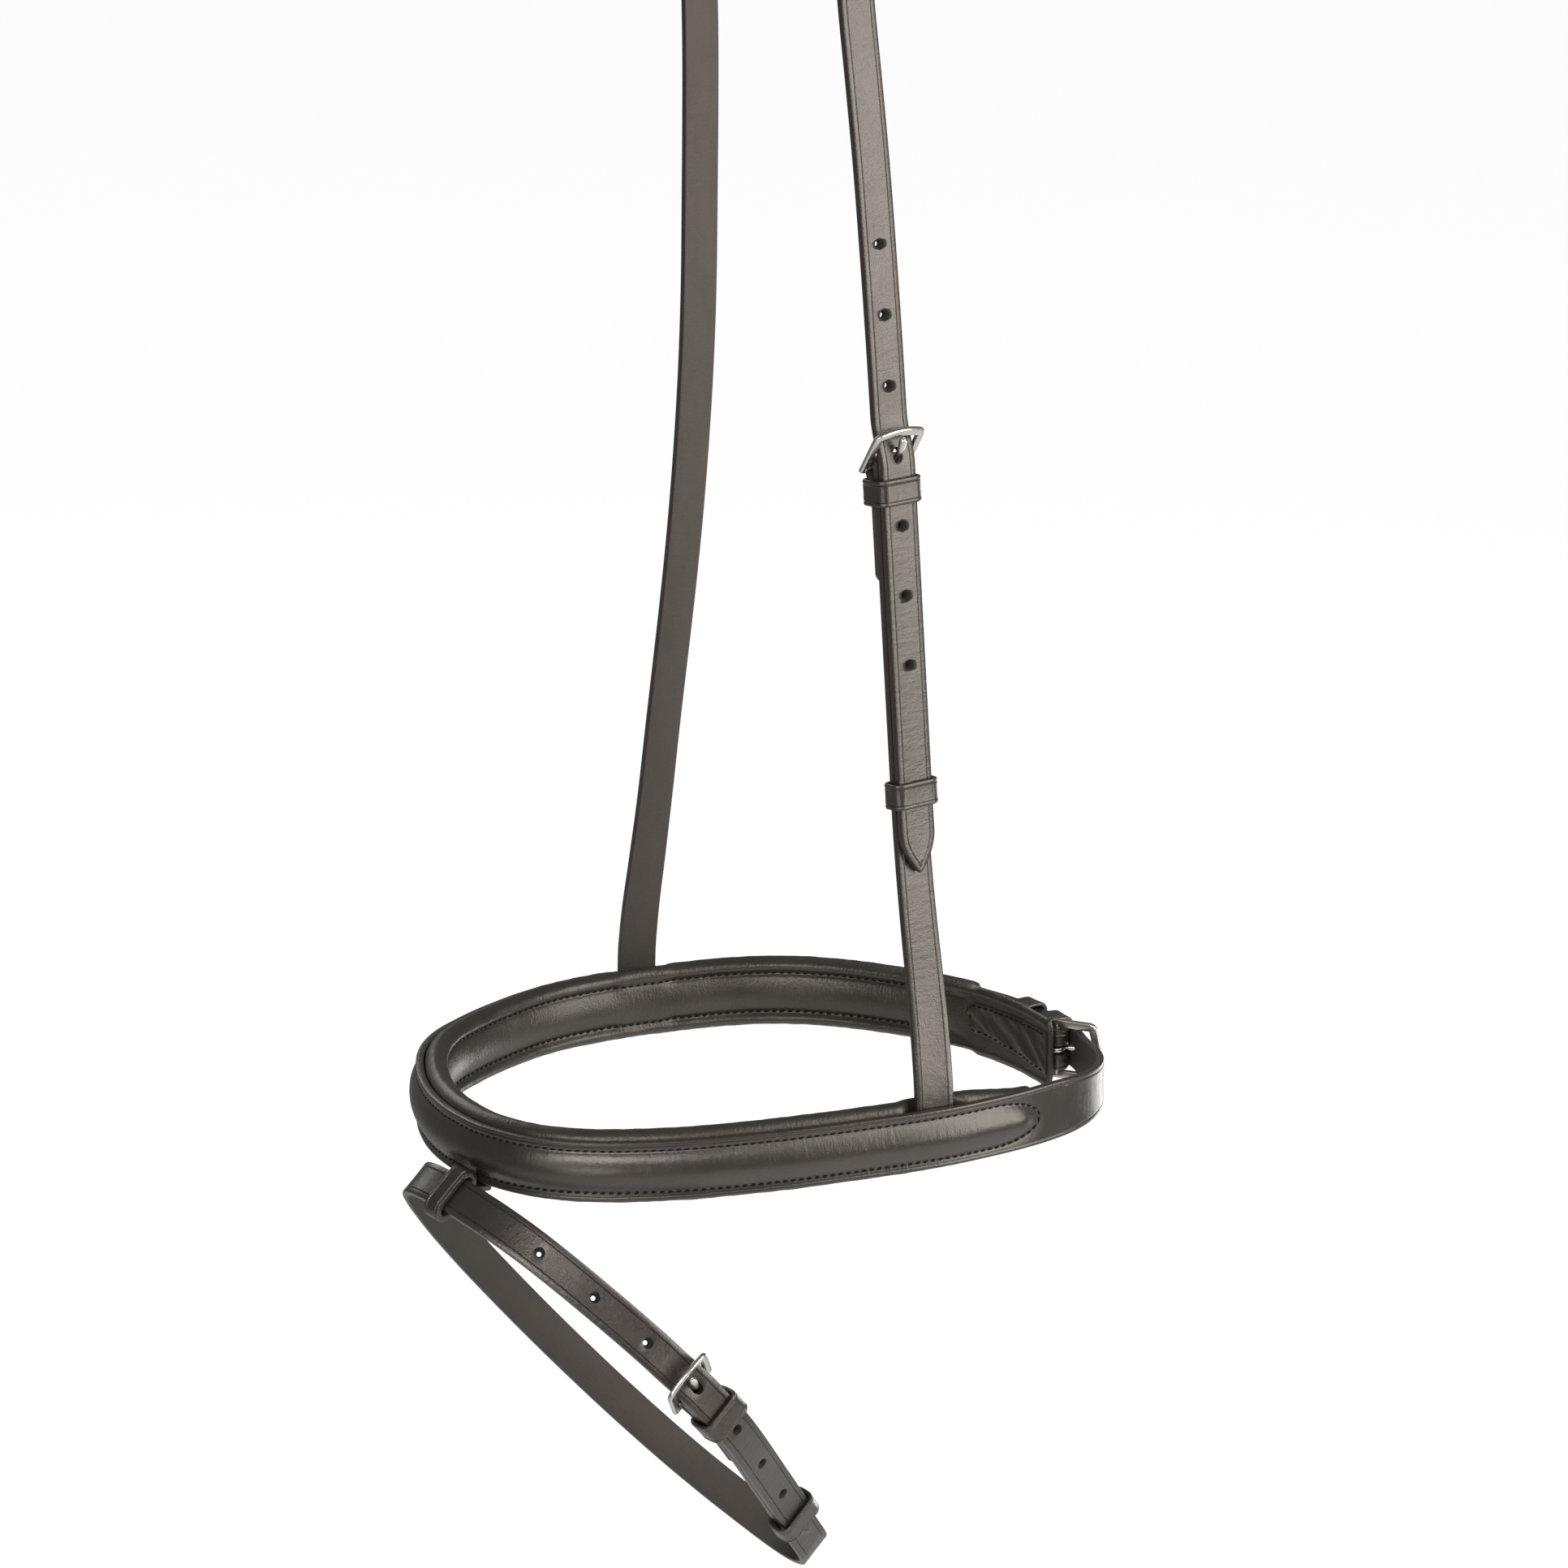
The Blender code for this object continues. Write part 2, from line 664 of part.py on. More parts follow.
def band_loop(name, half_width, half_height, width, thickness, corner):
    """A leather loop round the X axis: a chamfered section swept round a rounded box.

    Inside it leaves |y| < half_width and |z| < half_height.
    """
    side, front = thickness / 2, width / 2
    cut = EDGE_CHAMFER
    section = [(side - cut, front), (cut - side, front), (-side, front - cut), (-side, cut - front),
               (cut - side, -front), (side - cut, -front), (side, cut - front), (side, front - cut)]
    profile = bpy.data.objects.new("section", closed_curve("section", section))
    bpy.data.collections[CUTTERS].objects.link(profile)
    profile.hide_render = True
    path = closed_curve(name, rounded_box_outline(half_width + side, half_height + side,
                                                  corner + side))
    path.bevel_mode = "OBJECT"
    path.bevel_object = profile
    bm = mesh_from_curve(path)
    bpy.data.objects.remove(profile)
    turn = Matrix(((0, 0, 1), (1, 0, 0), (0, 1, 0))).to_4x4()
    bmesh.ops.transform(bm, matrix=turn, verts=bm.verts)
    bmesh.ops.recalc_face_normals(bm, faces=bm.faces)
    return bm


# Metalwork

def buckle_frame(name, strap_width, material):
    """A bridle buckle: flat bowed rails on a round bar. The bar lies on the Y axis."""
    inner = strap_width / 2 + WINDOW_GAP
    outer = inner + RAIL_WIDTH
    ear = -RAIL_WIDTH / 2
    end_in = BUCKLE_REACH - RAIL_WIDTH / 2
    end_out = BUCKLE_REACH + RAIL_WIDTH / 2
    small = BUCKLE_CORNER / 2
    half = [(ear, inner), (ear, outer - small), (ear + small, outer)]
    for i in range(4):
        angle = (1 - i / 3) * math.pi / 2
        half.append((end_out - BUCKLE_CORNER * (1 - math.cos(angle)),
                     outer - BUCKLE_CORNER * (1 - math.sin(angle))))
    half.append((end_out + RAIL_BOW * 0.75, outer * 0.42))
    half.append((end_out + RAIL_BOW, 0.0))
    back = [(end_in + RAIL_BOW, 0.0), (end_in + RAIL_BOW * 0.75, inner * 0.5),
            (end_in, inner - small), (end_in - small, inner)]
    mirrored = [(x, -y) for x, y in reversed(half[:-1])]
    inside = [(x, -y) for x, y in reversed(back)] + back[1:]
    plate = flat_blank(name, [half + mirrored + inside], RAIL_THICKNESS, RAIL_THICKNESS * 0.27)
    bar = bmesh.new()
    bmesh.ops.create_cone(bar, cap_ends=True, segments=14, radius1=BAR_RADIUS,
                          radius2=BAR_RADIUS, depth=2 * inner + RAIL_WIDTH,
                          matrix=Matrix.Rotation(math.pi / 2, 4, "X"))
    return object_from(combined(plate, bar, "UNION"), name, material)


def tongue_rise():
    """The tongue's middle line from its hook on the bar to its tip, in the buckle's plane.

    It leaves low, climbs steeply through the strap's hole and ends on the rail's inner edge.
    """
    hook = BAR_RADIUS + TONGUE_GAP + TONGUE_RADIUS
    rest = RAIL_THICKNESS / 2 + TONGUE_TIP_RADIUS + TONGUE_GAP
    tip = BUCKLE_REACH - RAIL_WIDTH / 2 + TONGUE_TIP_RADIUS / 2
    leave = (hook * math.cos(TONGUE_HOOK_END), hook * math.sin(TONGUE_HOOK_END))
    shares = ((0.24, 0.75), (0.46, 0.95), (0.68, 1.25), (0.86, 1.15))
    return [leave] + [(tip * x, rest * z) for x, z in shares] + [(tip, rest)]


def tongue(name, material):
    """A buckle tongue: wire hooked round the bar, with a rounded tip on the end rail."""
    hook = BAR_RADIUS + TONGUE_GAP + TONGUE_RADIUS
    turn = TONGUE_HOOK_END - 2 * math.pi - TONGUE_HOOK_START
    points = []
    for i in range(HOOK_STEPS):
        angle = TONGUE_HOOK_START + turn * i / HOOK_STEPS
        points.append((hook * math.cos(angle), hook * math.sin(angle), TONGUE_RADIUS))
    rise = tongue_rise()
    points += [(x, z, TONGUE_RADIUS) for x, z in rise[:-1]]
    tip_x, tip_z = rise[-1]
    points.append((tip_x - 0.4 * TONGUE_TIP_RADIUS, tip_z, TONGUE_TIP_RADIUS))
    points.append((tip_x + 0.3 * TONGUE_TIP_RADIUS, tip_z, TONGUE_TIP_RADIUS))
    points.append((tip_x + TONGUE_TIP_RADIUS, tip_z, TONGUE_TIP_RADIUS * 0.5))
    curve = bpy.data.curves.new(name, "CURVE")
    curve.dimensions = "3D"
    curve.bevel_depth = 1.0
    curve.bevel_resolution = 2
    curve.use_fill_caps = True
    spline = curve.splines.new("POLY")
    spline.points.add(len(points) - 1)
    for point, (x, z, radius) in zip(spline.points, points):
        point.co = (x, 0.0, z, 1.0)
        point.radius = radius
    return object_from(mesh_from_curve(curve), name, material)


def mount_buckle(prefix, rules, strap_width, metal):
    """Frame and tongue on their bar. Both turn about the Y axis of their own origin."""
    tangent, across, outward = rules.guide.frame(rules.bar)
    turned = Matrix((-tangent, -across, outward)).transposed().to_4x4()
    turned.translation = rules.guide.place(rules.bar, rules.level, 0.0)
    turned = turned @ Matrix.Rotation(-BUCKLE_TILT, 4, "Y")
    for obj in (buckle_frame(prefix + "_buckle", strap_width, metal),
                tongue(prefix + "_tongue", metal)):
        obj.matrix_world = turned


def mount_keeper(prefix, rules, distance, strap_width, material):
    """The fixed keeper behind the buckle, round tail, strap and strap end."""
    spread = rules.spread(distance - KEEPER_WIDTH / 2)
    mount_loop(prefix + "_keeper", rules, distance, strap_width,
               rules.tail_level - rules.tail_thickness / 2 - spread,
               rules.over_main + rules.thickness / 2, GAP, material)


def mount_loop(name, rules, distance, strap_width, low, high, gap, material):
    """A keeper or runner round the leathers between the levels low and high."""
    middle = (low + high) / 2
    half = (high - low) / 2 + gap
    bm = band_loop(name, strap_width / 2 + gap, half, KEEPER_WIDTH, KEEPER_THICKNESS,
                   KEEPER_CORNER)
    obj = object_from(bm, name, material)
    obj.matrix_world = rules.guide.matrix(rules.bar + distance, middle)


def slot_hole(rules):
    """The slot that lets the tongue out of the fold."""
    half = rules.fold_length / 2
    return (TAIL_LENGTH - SETTLE + tail_run(rules) + half, half + SLOT_REACH, SLOT_WIDTH / 2)


def tail_run(rules):
    """Length of the slope between the flat tail and the fold."""
    return math.hypot(SETTLE, rules.spread(0.0))


def strap_holes(first_u, above, below):
    """The used hole at first_u, stretched, with its neighbours up and down the strap."""
    radius = HOLE_DIAMETER / 2
    holes = []
    for i in range(-above, below + 1):
        stretch = HOLE_STRETCH if i == 0 else 1.0
        holes.append((first_u + i * HOLE_PITCH, radius * stretch, radius))
    return holes


def tapered(start, length, half, next_half):
    """Where a strap's edge goes while it changes from one half width to the next."""
    shares = [i / TAPER_STEPS for i in range(TAPER_STEPS + 1)]
    return [(start + length * share, half + (next_half - half) * smoothstep(share))
            for share in shares]


# The object

def noseband_guide():
    centre = Vector((*NOSEBAND_CENTRE, -HANG_HEIGHT))
    half = (NOSEBAND_LENGTH / 2, NOSEBAND_WIDTH / 2)
    points = [centre + Vector((x * half[0], y * half[1], 0.0)) for x, y in NOSEBAND_PLAN]
    guide = Guide(points, lambda s: Vector((0, 0, 1)), closed=True)
    guide.cut_spans([buckle_flat(0.0, KEEPER_FROM_BAR),
                     flat(CHIN_RUNNER_FROM_BAR, KEEPER_WIDTH / 2 + RUNNER_TRAVEL),
                     flat(FAR_CHEEK, HEAD_WIDTH / 2 + GAP),
                     flat(NOSE_FRONT, LOOP_WIDTH / 2 + GAP),
                     flat(near_cheek(guide), HEAD_WIDTH / 2 + GAP)])
    return guide


def flat(middle, half):
    return (middle - half, middle + half)


def buckle_flat(bar, keeper_distance):
    return (bar - RAMP, bar + keeper_distance + KEEPER_WIDTH / 2 + GAP)


def near_cheek(ring):
    return ring.length - NEAR_CHEEK_BACK


def near_pad_end(ring):
    return ring.length - NEAR_PAD_BACK


def head_guide(ring):
    """From the far cheek over the crown to the near cheek. The cheek strap lies on its line."""
    level = -GAP - HEAD_THICKNESS / 2
    far_end = ring.place(FAR_CHEEK, level, -SEWN_DEPTH)
    far_exit = ring.place(FAR_CHEEK, level, SEWN_EXIT)
    near_exit = ring.place(near_cheek(ring), level, SEWN_EXIT)
    near_end = ring.place(near_cheek(ring), level, -SEWN_DEPTH)
    crown_turn = CROWN_FLAT / CROWN_RADIUS
    crown = Vector((0, 0, HEAD_THICKNESS / 2 - CROWN_RADIUS * math.cos(crown_turn / 2)))
    points = [far_end, far_end.lerp(far_exit, 0.5), far_exit]
    points += [Vector((0, y, z)) for y, z in HEAD_ROUTE_FAR]
    for i in range(CROWN_STEPS + 1):
        angle = CROWN_SPREAD * (1 - 2 * i / CROWN_STEPS)
        points.append(crown + CROWN_RADIUS * Vector((0, math.sin(angle), math.cos(angle))))
    points += [Vector((0, y, z)) for y, z in HEAD_ROUTE_NEAR]
    points += [near_exit, near_exit.lerp(near_end, 0.5), near_end]
    far_along = -ring.frame(FAR_CHEEK)[0]
    near_along = ring.frame(near_cheek(ring))[0]
    square = Vector((1, 0, 0))
    total = sum((b - a).length for a, b in zip(points, points[1:]))
    sewn = SEWN_DEPTH + SEWN_EXIT

    def across(s):
        if s < total / 2:
            return far_along.lerp(square, smoothstep((s - sewn) / TWIST_LENGTH))
        return near_along.lerp(square, smoothstep((total - s - sewn) / TWIST_LENGTH))

    guide = Guide(points, across)
    top = float(guide.lengths[guide.samples[:, 2].argmax()])
    bar = guide.length - CHEEK_LENGTH
    runner = bar + HEAD_RUNNER_FROM_BAR
    guide.cut_spans([(0.0, sewn), flat(top, CROWN_FLAT / 2),
                     (bar - RAMP, runner + KEEPER_WIDTH / 2 + HEAD_RUNNER_DROP),
                     (guide.length - sewn, guide.length)])
    return guide


def flash_guide(ring):
    """The flash strap's loop, in a plane that slopes down and back from the nose."""
    slope = Vector((math.cos(FLASH_DROP), 0, -math.sin(FLASH_DROP)))
    upright = Vector((math.sin(FLASH_DROP), 0, math.cos(FLASH_DROP)))
    side = Vector((0, 1, 0))
    top = ring.place(NOSE_FRONT, FLASH_FORWARD, -FLASH_BELOW)
    points = [top + a * slope + b * side for a, b in FLASH_PLAN]
    guide = Guide(points, lambda s: upright, closed=True)
    guide.cut_spans([flat(0.0, LOOP_WIDTH / 2 + GAP),
                     buckle_flat(FLASH_BUCKLE, FLASH_KEEPER_FROM_BAR),
                     flat(FLASH_BUCKLE + FLASH_RUNNER_FROM_BAR,
                          KEEPER_WIDTH / 2 + RUNNER_TRAVEL)])
    return guide


def flash_hinge(ring):
    """The crease that the flash loop swings on, just under the sewn tab."""
    return ring.place(NOSE_FRONT, -GAP - TAB_THICKNESS / 2, -TAB_BELOW - 3 * GAP - HINGE_RADIUS)


def make_head(ring, leather, metal):
    """The head strap, sewn in on the far side, and the cheek strap that it buckles to."""
    guide = head_guide(ring)
    bar = guide.length - CHEEK_LENGTH
    rules = Buckle(guide, bar, HEAD_THICKNESS, 0.0)
    half = [(0.0, HEAD_WIDTH / 2)]

    cheek = Route(guide, rules.fold(TAIL_LENGTH) + [(guide.length, 0.0)])
    strap("cheek_strap", cheek, HEAD_THICKNESS, half, leather, [slot_hole(rules)], tip=0,
          skive=rules.skive)

    beyond = HEAD_HOLES_BELOW * HOLE_PITCH + HEAD_TIP_BEYOND
    head, used = rules.buckled_route([(0.0, 0.0), (guide.length / 2, 0.0)], bar, 0.0, beyond)
    strap("head_strap", head, HEAD_THICKNESS, half, leather,
          strap_holes(used, HEAD_HOLES_ABOVE, HEAD_HOLES_BELOW))

    mount_buckle("cheek", rules, HEAD_WIDTH, metal)
    mount_keeper("cheek", rules, KEEPER_FROM_BAR, HEAD_WIDTH, leather)
    mount_loop("cheek_runner", rules, HEAD_RUNNER_FROM_BAR, HEAD_WIDTH,
               -HEAD_THICKNESS / 2, rules.over_main + HEAD_THICKNESS / 2, RUNNER_GAP, leather)


def raised_half(ring, s):
    """Half the width of the band's raised middle, at s along the noseband."""
    start, end = raised_ends(ring)
    share = min(max(min(s - start, end - s), 0.0) / RAISED_POINT, 1.0)
    return RAISED_WIDTH / 2 * math.sqrt(share * (2 - share))


def raised(ring, s, v):
    """How far the band's middle stands up, at s along the noseband and v across it."""
    start, end = raised_ends(ring)
    half = raised_half(ring, s)
    if half == 0.0:
        return 0.0
    height = RAISE * smoothstep(2 * min(s - start, end - s) / RAISED_POINT)
    return height * max(0.0, 1 - (v / half) ** 2)


def raised_ends(ring):
    return FAR_RAISE_START, near_pad_end(ring) - RAISE_SHORT_OF_PAD


def raised_marks(ring):
    """Extra stations at the pointed ends of the raised part."""
    start, end = raised_ends(ring)
    steps = [RAISED_POINT * share for share in (0.0, 0.15, 0.35, 0.6, 1.0)]
    return [start + step for step in steps] + [end - step for step in reversed(steps)]


def chin_rules(ring):
    return Buckle(ring, 0.0, NOSE_THICKNESS, NOSE_THICKNESS / 2)


def make_band(ring, leather, metal):
    """The noseband's outer strap: round the chin bar, round the nose and back to the buckle."""
    middle = NOSE_THICKNESS / 2
    rules = chin_rules(ring)
    fold = rules.fold(TAIL_LENGTH)
    start = FAR_RAISE_START - CLIMB_LENGTH / 2
    climb = [(start + CLIMB_LENGTH * i / 4, RAISE * smoothstep(i / 4)) for i in range(5)]
    beyond = CHIN_HOLES_BELOW * HOLE_PITCH + CHIN_TIP_BEYOND
    route, used = rules.buckled_route(fold, ring.length, middle, beyond, climb)
    offset = route.at(FAR_CHEEK) - FAR_CHEEK

    narrow, wide = CHIN_WIDTH / 2, NOSE_WIDTH / 2
    half = [(0.0, narrow)] + tapered(offset + FAR_TAPER_START, FAR_TAPER, narrow, wide)
    half += tapered(offset + near_pad_end(ring), NEAR_TAPER, wide, narrow)

    def lift(u, v):
        return raised(ring, u - offset, v)

    marks = [offset + mark for mark in raised_marks(ring)]
    rows = [RAISED_WIDTH / 2 * share for share in (-1, -0.66, -0.33, 0, 0.33, 0.66, 1)]
    strap("noseband_strap", route, NOSE_THICKNESS, half, leather,
          [slot_hole(rules)] + strap_holes(used, 0, CHIN_HOLES_BELOW), skive=rules.skive,
          raised_part=(marks, rows, lift))

    mount_buckle("chin", rules, CHIN_WIDTH, metal)
    mount_keeper("chin", rules, KEEPER_FROM_BAR, CHIN_WIDTH, leather)
    mount_loop("chin_runner", rules, CHIN_RUNNER_FROM_BAR, CHIN_WIDTH,
               rules.tail_level - rules.tail_thickness / 2, rules.over_main + middle,
               RUNNER_GAP, leather)


def ring_sections(ring, low, high, extra, section):
    """Sections across the noseband at its stations and the extra ones, from lists of (w, h)."""
    marks = [low] + ring.stations(low, high) + [high]
    extra = [s for s in extra
             if low < s < high and min(abs(s - mark) for mark in marks) > NEAR_STATION]
    return [[ring.place(s, w, h) for w, h in section(s)] for s in sorted(marks + extra)]


def make_filler(ring, foam):
    """The soft filler under the raised leather. It leaves room for its sewn edges."""
    def section(s):
        half = raised_half(ring, s) * FILLER_SHARE
        row = [half * i / 3 for i in range(-3, 4)]
        front = [(raised(ring, s, v) - GAP, v) for v in row]
        return front + [(0.0, row[-1]), (0.0, 0.0), (0.0, row[0])]

    start, end = raised_ends(ring)
    inset = 0.6 * RAISED_POINT
    loft("raised_filler",
         ring_sections(ring, start + inset, end - inset, raised_marks(ring), section), foam)


def dents(ring):
    """What the lining makes room for: (from s, to s, depth)."""
    rules = chin_rules(ring)
    keeper = -rules.tail_level + rules.tail_thickness / 2 + KEEPER_THICKNESS + GAP
    keeper += rules.spread(KEEPER_FROM_BAR - KEEPER_WIDTH / 2) + SEWN_EASE
    head = GAP + SEWN_EASE + HEAD_THICKNESS + SEWN_EASE
    half = HEAD_WIDTH / 2 + SEWN_EASE
    tab = GAP + TAB_THICKNESS + SEWN_EASE
    half_tab = LOOP_WIDTH / 2 + SEWN_EASE
    runner_end = CHIN_RUNNER_FROM_BAR + KEEPER_WIDTH / 2 + RUNNER_TRAVEL
    return ((FAR_PAD_START, max(runner_end, TAIL_LENGTH), keeper),
            (FAR_CHEEK - half, FAR_CHEEK + half, head),
            (NOSE_FRONT - half_tab, NOSE_FRONT + half_tab, tab),
            (near_cheek(ring) - half, near_cheek(ring) + half, head))


def make_lining(ring, lining, foam):
    """The rolled lining of the noseband, its cover wrapped round a foam core."""
    top = LINING_HEIGHT / 2
    # Across the pad: share of its depth from the sewn side, and height.
    shape = ((0.00, LINING_LIP), (0.02, 0.80 * top), (0.40, top), (0.86, 0.88 * top),
             (0.94, 0.70 * top), (0.78, 0.53 * top), (1.02, 0.18 * top))
    outline = list(shape) + [(a, -h) for a, h in reversed(shape)]
    hollows = dents(ring)

    def wall(s, inset):
        """The pad's outline at s, and the same set in by a wall's thickness."""
        dent = 0.0
        for low, high, depth in hollows:
            away = max(low - s, s - high, 0.0)
            dent = max(dent, depth * (1 - smoothstep(away / DENT_SPREAD)))
        front = -GAP - dent
        rear = -GAP - LINING_THICKNESS - DENT_SHARE * dent
        points = [Vector((front + (rear - front) * a, h)) for a, h in outline]
        moved = []
        for i, point in enumerate(points):
            before = points[max(i - 1, 0)]
            after = points[min(i + 1, len(points) - 1)]
            along = (after - before).normalized()
            moved.append(point + inset * Vector((-along.y, along.x)))
        return points, moved

    def cover(s):
        points, moved = wall(s, LINING_COVER)
        return points + moved[::-1]

    def core(s):
        return wall(s, LINING_COVER + 3 * GAP)[1]

    extra = []
    for low, high, _ in hollows:
        extra += [low - DENT_SPREAD, low, high, high + DENT_SPREAD]
    start, end = FAR_PAD_START, near_pad_end(ring)
    loft("lining_cover", ring_sections(ring, start, end, extra, cover), lining)
    loft("lining_foam",
         ring_sections(ring, start + LINING_COVER, end - LINING_COVER, extra, core), foam)


def make_flash(ring, leather, metal):
    """The flash strap, buckled to itself, and the loop that it runs through at the nose."""
    guide = flash_guide(ring)
    rules = Buckle(guide, FLASH_BUCKLE, FLASH_THICKNESS, 0.0)
    fold = rules.fold(TAIL_LENGTH)
    beyond = FLASH_HOLES_BELOW * HOLE_PITCH + FLASH_TIP_BEYOND
    route, used = rules.buckled_route(fold, FLASH_BUCKLE + guide.length, 0.0, beyond)
    strap("flash_strap", route, FLASH_THICKNESS, [(0.0, FLASH_WIDTH / 2)], leather,
          [slot_hole(rules)] + strap_holes(used, FLASH_HOLES_ABOVE, FLASH_HOLES_BELOW),
          skive=rules.skive)

    mount_buckle("flash", rules, FLASH_WIDTH, metal)
    mount_keeper("flash", rules, FLASH_KEEPER_FROM_BAR, FLASH_WIDTH, leather)
    mount_loop("flash_runner", rules, FLASH_RUNNER_FROM_BAR, FLASH_WIDTH,
               -FLASH_THICKNESS / 2, rules.over_main + FLASH_THICKNESS / 2, RUNNER_GAP,
               leather)
    make_flash_loop(ring, guide, leather)


def make_flash_loop(ring, guide, leather):
    """The band round the flash strap, its neck, and the tab that is sewn into the noseband."""
    half = FLASH_THICKNESS / 2 + LOOP_ROOM
    inner = FLASH_WIDTH / 2 + LOOP_ROOM
    band = band_loop("flash_loop", inner, half, LOOP_WIDTH, LOOP_THICKNESS, LOOP_CORNER)
    place = guide.matrix(0.0)
    hinge = place.inverted() @ flash_hinge(ring)
    start = Vector((NECK_HEIGHT, -half - LOOP_THICKNESS / 2))
    along = Vector((hinge.y, hinge.z)) - start
    length = along.length
    outline = [(0.0, HINGE_RADIUS), (0.0, -HINGE_RADIUS)]
    for i in range(9):
        angle = math.pi * (i / 8 - 0.5)
        outline.append((length + HINGE_RADIUS * math.cos(angle), HINGE_RADIUS * math.sin(angle)))
    neck = flat_blank("neck", [outline], LOOP_WIDTH, 0)
    along.normalize()
    turn = Matrix(((0, 0, 1, 0), (along.x, -along.y, 0, start.x),
                   (along.y, along.x, 0, start.y), (0, 0, 0, 1)))
    bmesh.ops.transform(neck, matrix=turn, verts=neck.verts)
    loop = object_from(combined(band, neck, "UNION"), "flash_loop", leather)
    loop.matrix_world = place

    height = TAB_BELOW - (NOSE_WIDTH / 2 - TAB_DEPTH)
    outline = [(x * LOOP_WIDTH / 2, y * height / 2 + height / 2 - TAB_BELOW)
               for x, y in ((-1, -1), (1, -1), (1, 1), (-1, 1))]
    tab = flat_blank("flash_tab", [outline], TAB_THICKNESS, EDGE_CHAMFER)
    tab_obj = object_from(tab, "flash_tab", leather)
    tab_obj.matrix_world = ring.matrix(NOSE_FRONT, -GAP - TAB_THICKNESS / 2)


def main():
    for obj in list(bpy.data.objects):
        bpy.data.objects.remove(obj)
    for name in (COLLECTION, CUTTERS):
        bpy.context.scene.collection.children.link(bpy.data.collections.new(name))
    leather = make_material("black_bridle_leather", LEATHER, 0.42, 0.0)
    lining = make_material("soft_lining_leather", LINING_LEATHER, 0.6, 0.0)
    foam = make_material("grey_foam", FOAM, 0.9, 0.0)
    metal = make_material("polished_nickel", NICKEL, 0.2, 1.0)

    ring = noseband_guide()
    make_head(ring, leather, metal)
    make_band(ring, leather, metal)
    make_filler(ring, foam)
    make_lining(ring, lining, foam)
    make_flash(ring, leather, metal)


main()
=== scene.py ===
# %% [markdown]
# # A padded flash noseband
#
# This is one part of a riding bridle: a padded band round the horse's nose that hangs from a
# long strap over its head, and a thin second strap, the flash, that hangs from the band and
# closes the mouth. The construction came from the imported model. This script gives each strap,
# loop, pad and buckle its leather or metal, with the sewing and creases.

import math

import bmesh
import bpy
import numpy as np
from mathutils import Matrix, Vector, noise


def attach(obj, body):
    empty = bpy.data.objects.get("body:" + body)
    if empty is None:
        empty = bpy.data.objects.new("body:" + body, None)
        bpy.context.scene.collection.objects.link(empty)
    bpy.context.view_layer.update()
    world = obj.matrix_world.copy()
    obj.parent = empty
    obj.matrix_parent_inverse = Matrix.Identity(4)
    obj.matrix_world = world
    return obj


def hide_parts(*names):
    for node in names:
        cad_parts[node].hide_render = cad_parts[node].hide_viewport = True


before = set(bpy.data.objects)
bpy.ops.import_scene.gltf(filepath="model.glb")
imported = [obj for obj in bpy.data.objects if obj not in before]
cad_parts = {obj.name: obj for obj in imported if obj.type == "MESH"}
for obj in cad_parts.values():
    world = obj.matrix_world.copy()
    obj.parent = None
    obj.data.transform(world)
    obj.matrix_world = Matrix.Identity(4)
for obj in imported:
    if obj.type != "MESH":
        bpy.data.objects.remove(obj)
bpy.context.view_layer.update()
print("nodes in the packed model:", len(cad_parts))

# %% [markdown]
# ## Guide lines
#
# Leather straps are flat patterns that are bent. So each is modelled flat and then bent along
# a guide line, as a saddler would bend it round a horse's head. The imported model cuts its
# guide lines into straight spans. Here the same spans have their corners rounded off, so the
# leather curves smoothly and everything beside it still fits.

# %% Clearances and straps
GAP = 0.0003
RUNNER_GAP = 0.0005
WINDOW_GAP = 0.0005
TONGUE_GAP = 0.0002

HEAD_WIDTH = 0.0150
HEAD_THICKNESS = 0.0028
FLASH_WIDTH = 0.0140
FLASH_THICKNESS = 0.0030
NOSE_WIDTH = 0.0220
CHIN_WIDTH = 0.0155
NOSE_THICKNESS = 0.0030
TIP_LENGTH = 0.0150
HOLE_DIAMETER = 0.0042
HOLE_PITCH = 0.0250
HOLE_STRETCH = 1.40

# %% Buckles, keepers and runners
BAR_RADIUS = 0.0014
RAIL_WIDTH = 0.0033
RAIL_THICKNESS = 0.0019
BUCKLE_REACH = 0.0148
RAIL_BOW = 0.0012
BUCKLE_CORNER = 0.0035
BUCKLE_TILT = math.radians(38)
TONGUE_RADIUS = 0.00105
TONGUE_TIP_RADIUS = 0.0014
TONGUE_HOOK_START = math.radians(20)
TONGUE_HOOK_END = math.radians(96)
SLOT_WIDTH = 0.0036
SLOT_REACH = 0.0050
SETTLE = 0.0100
RAMP = 0.0180
TAIL_LENGTH = 0.0430
SKIVE = 0.55

KEEPER_WIDTH = 0.0094
KEEPER_THICKNESS = 0.0015
KEEPER_FROM_BAR = 0.0088
FLASH_KEEPER_FROM_BAR = 0.0135
HEAD_RUNNER_FROM_BAR = 0.1180
HEAD_RUNNER_DROP = 0.0100
CHIN_RUNNER_FROM_BAR = 0.0260
FLASH_RUNNER_FROM_BAR = 0.0920
RUNNER_TRAVEL = 0.0040

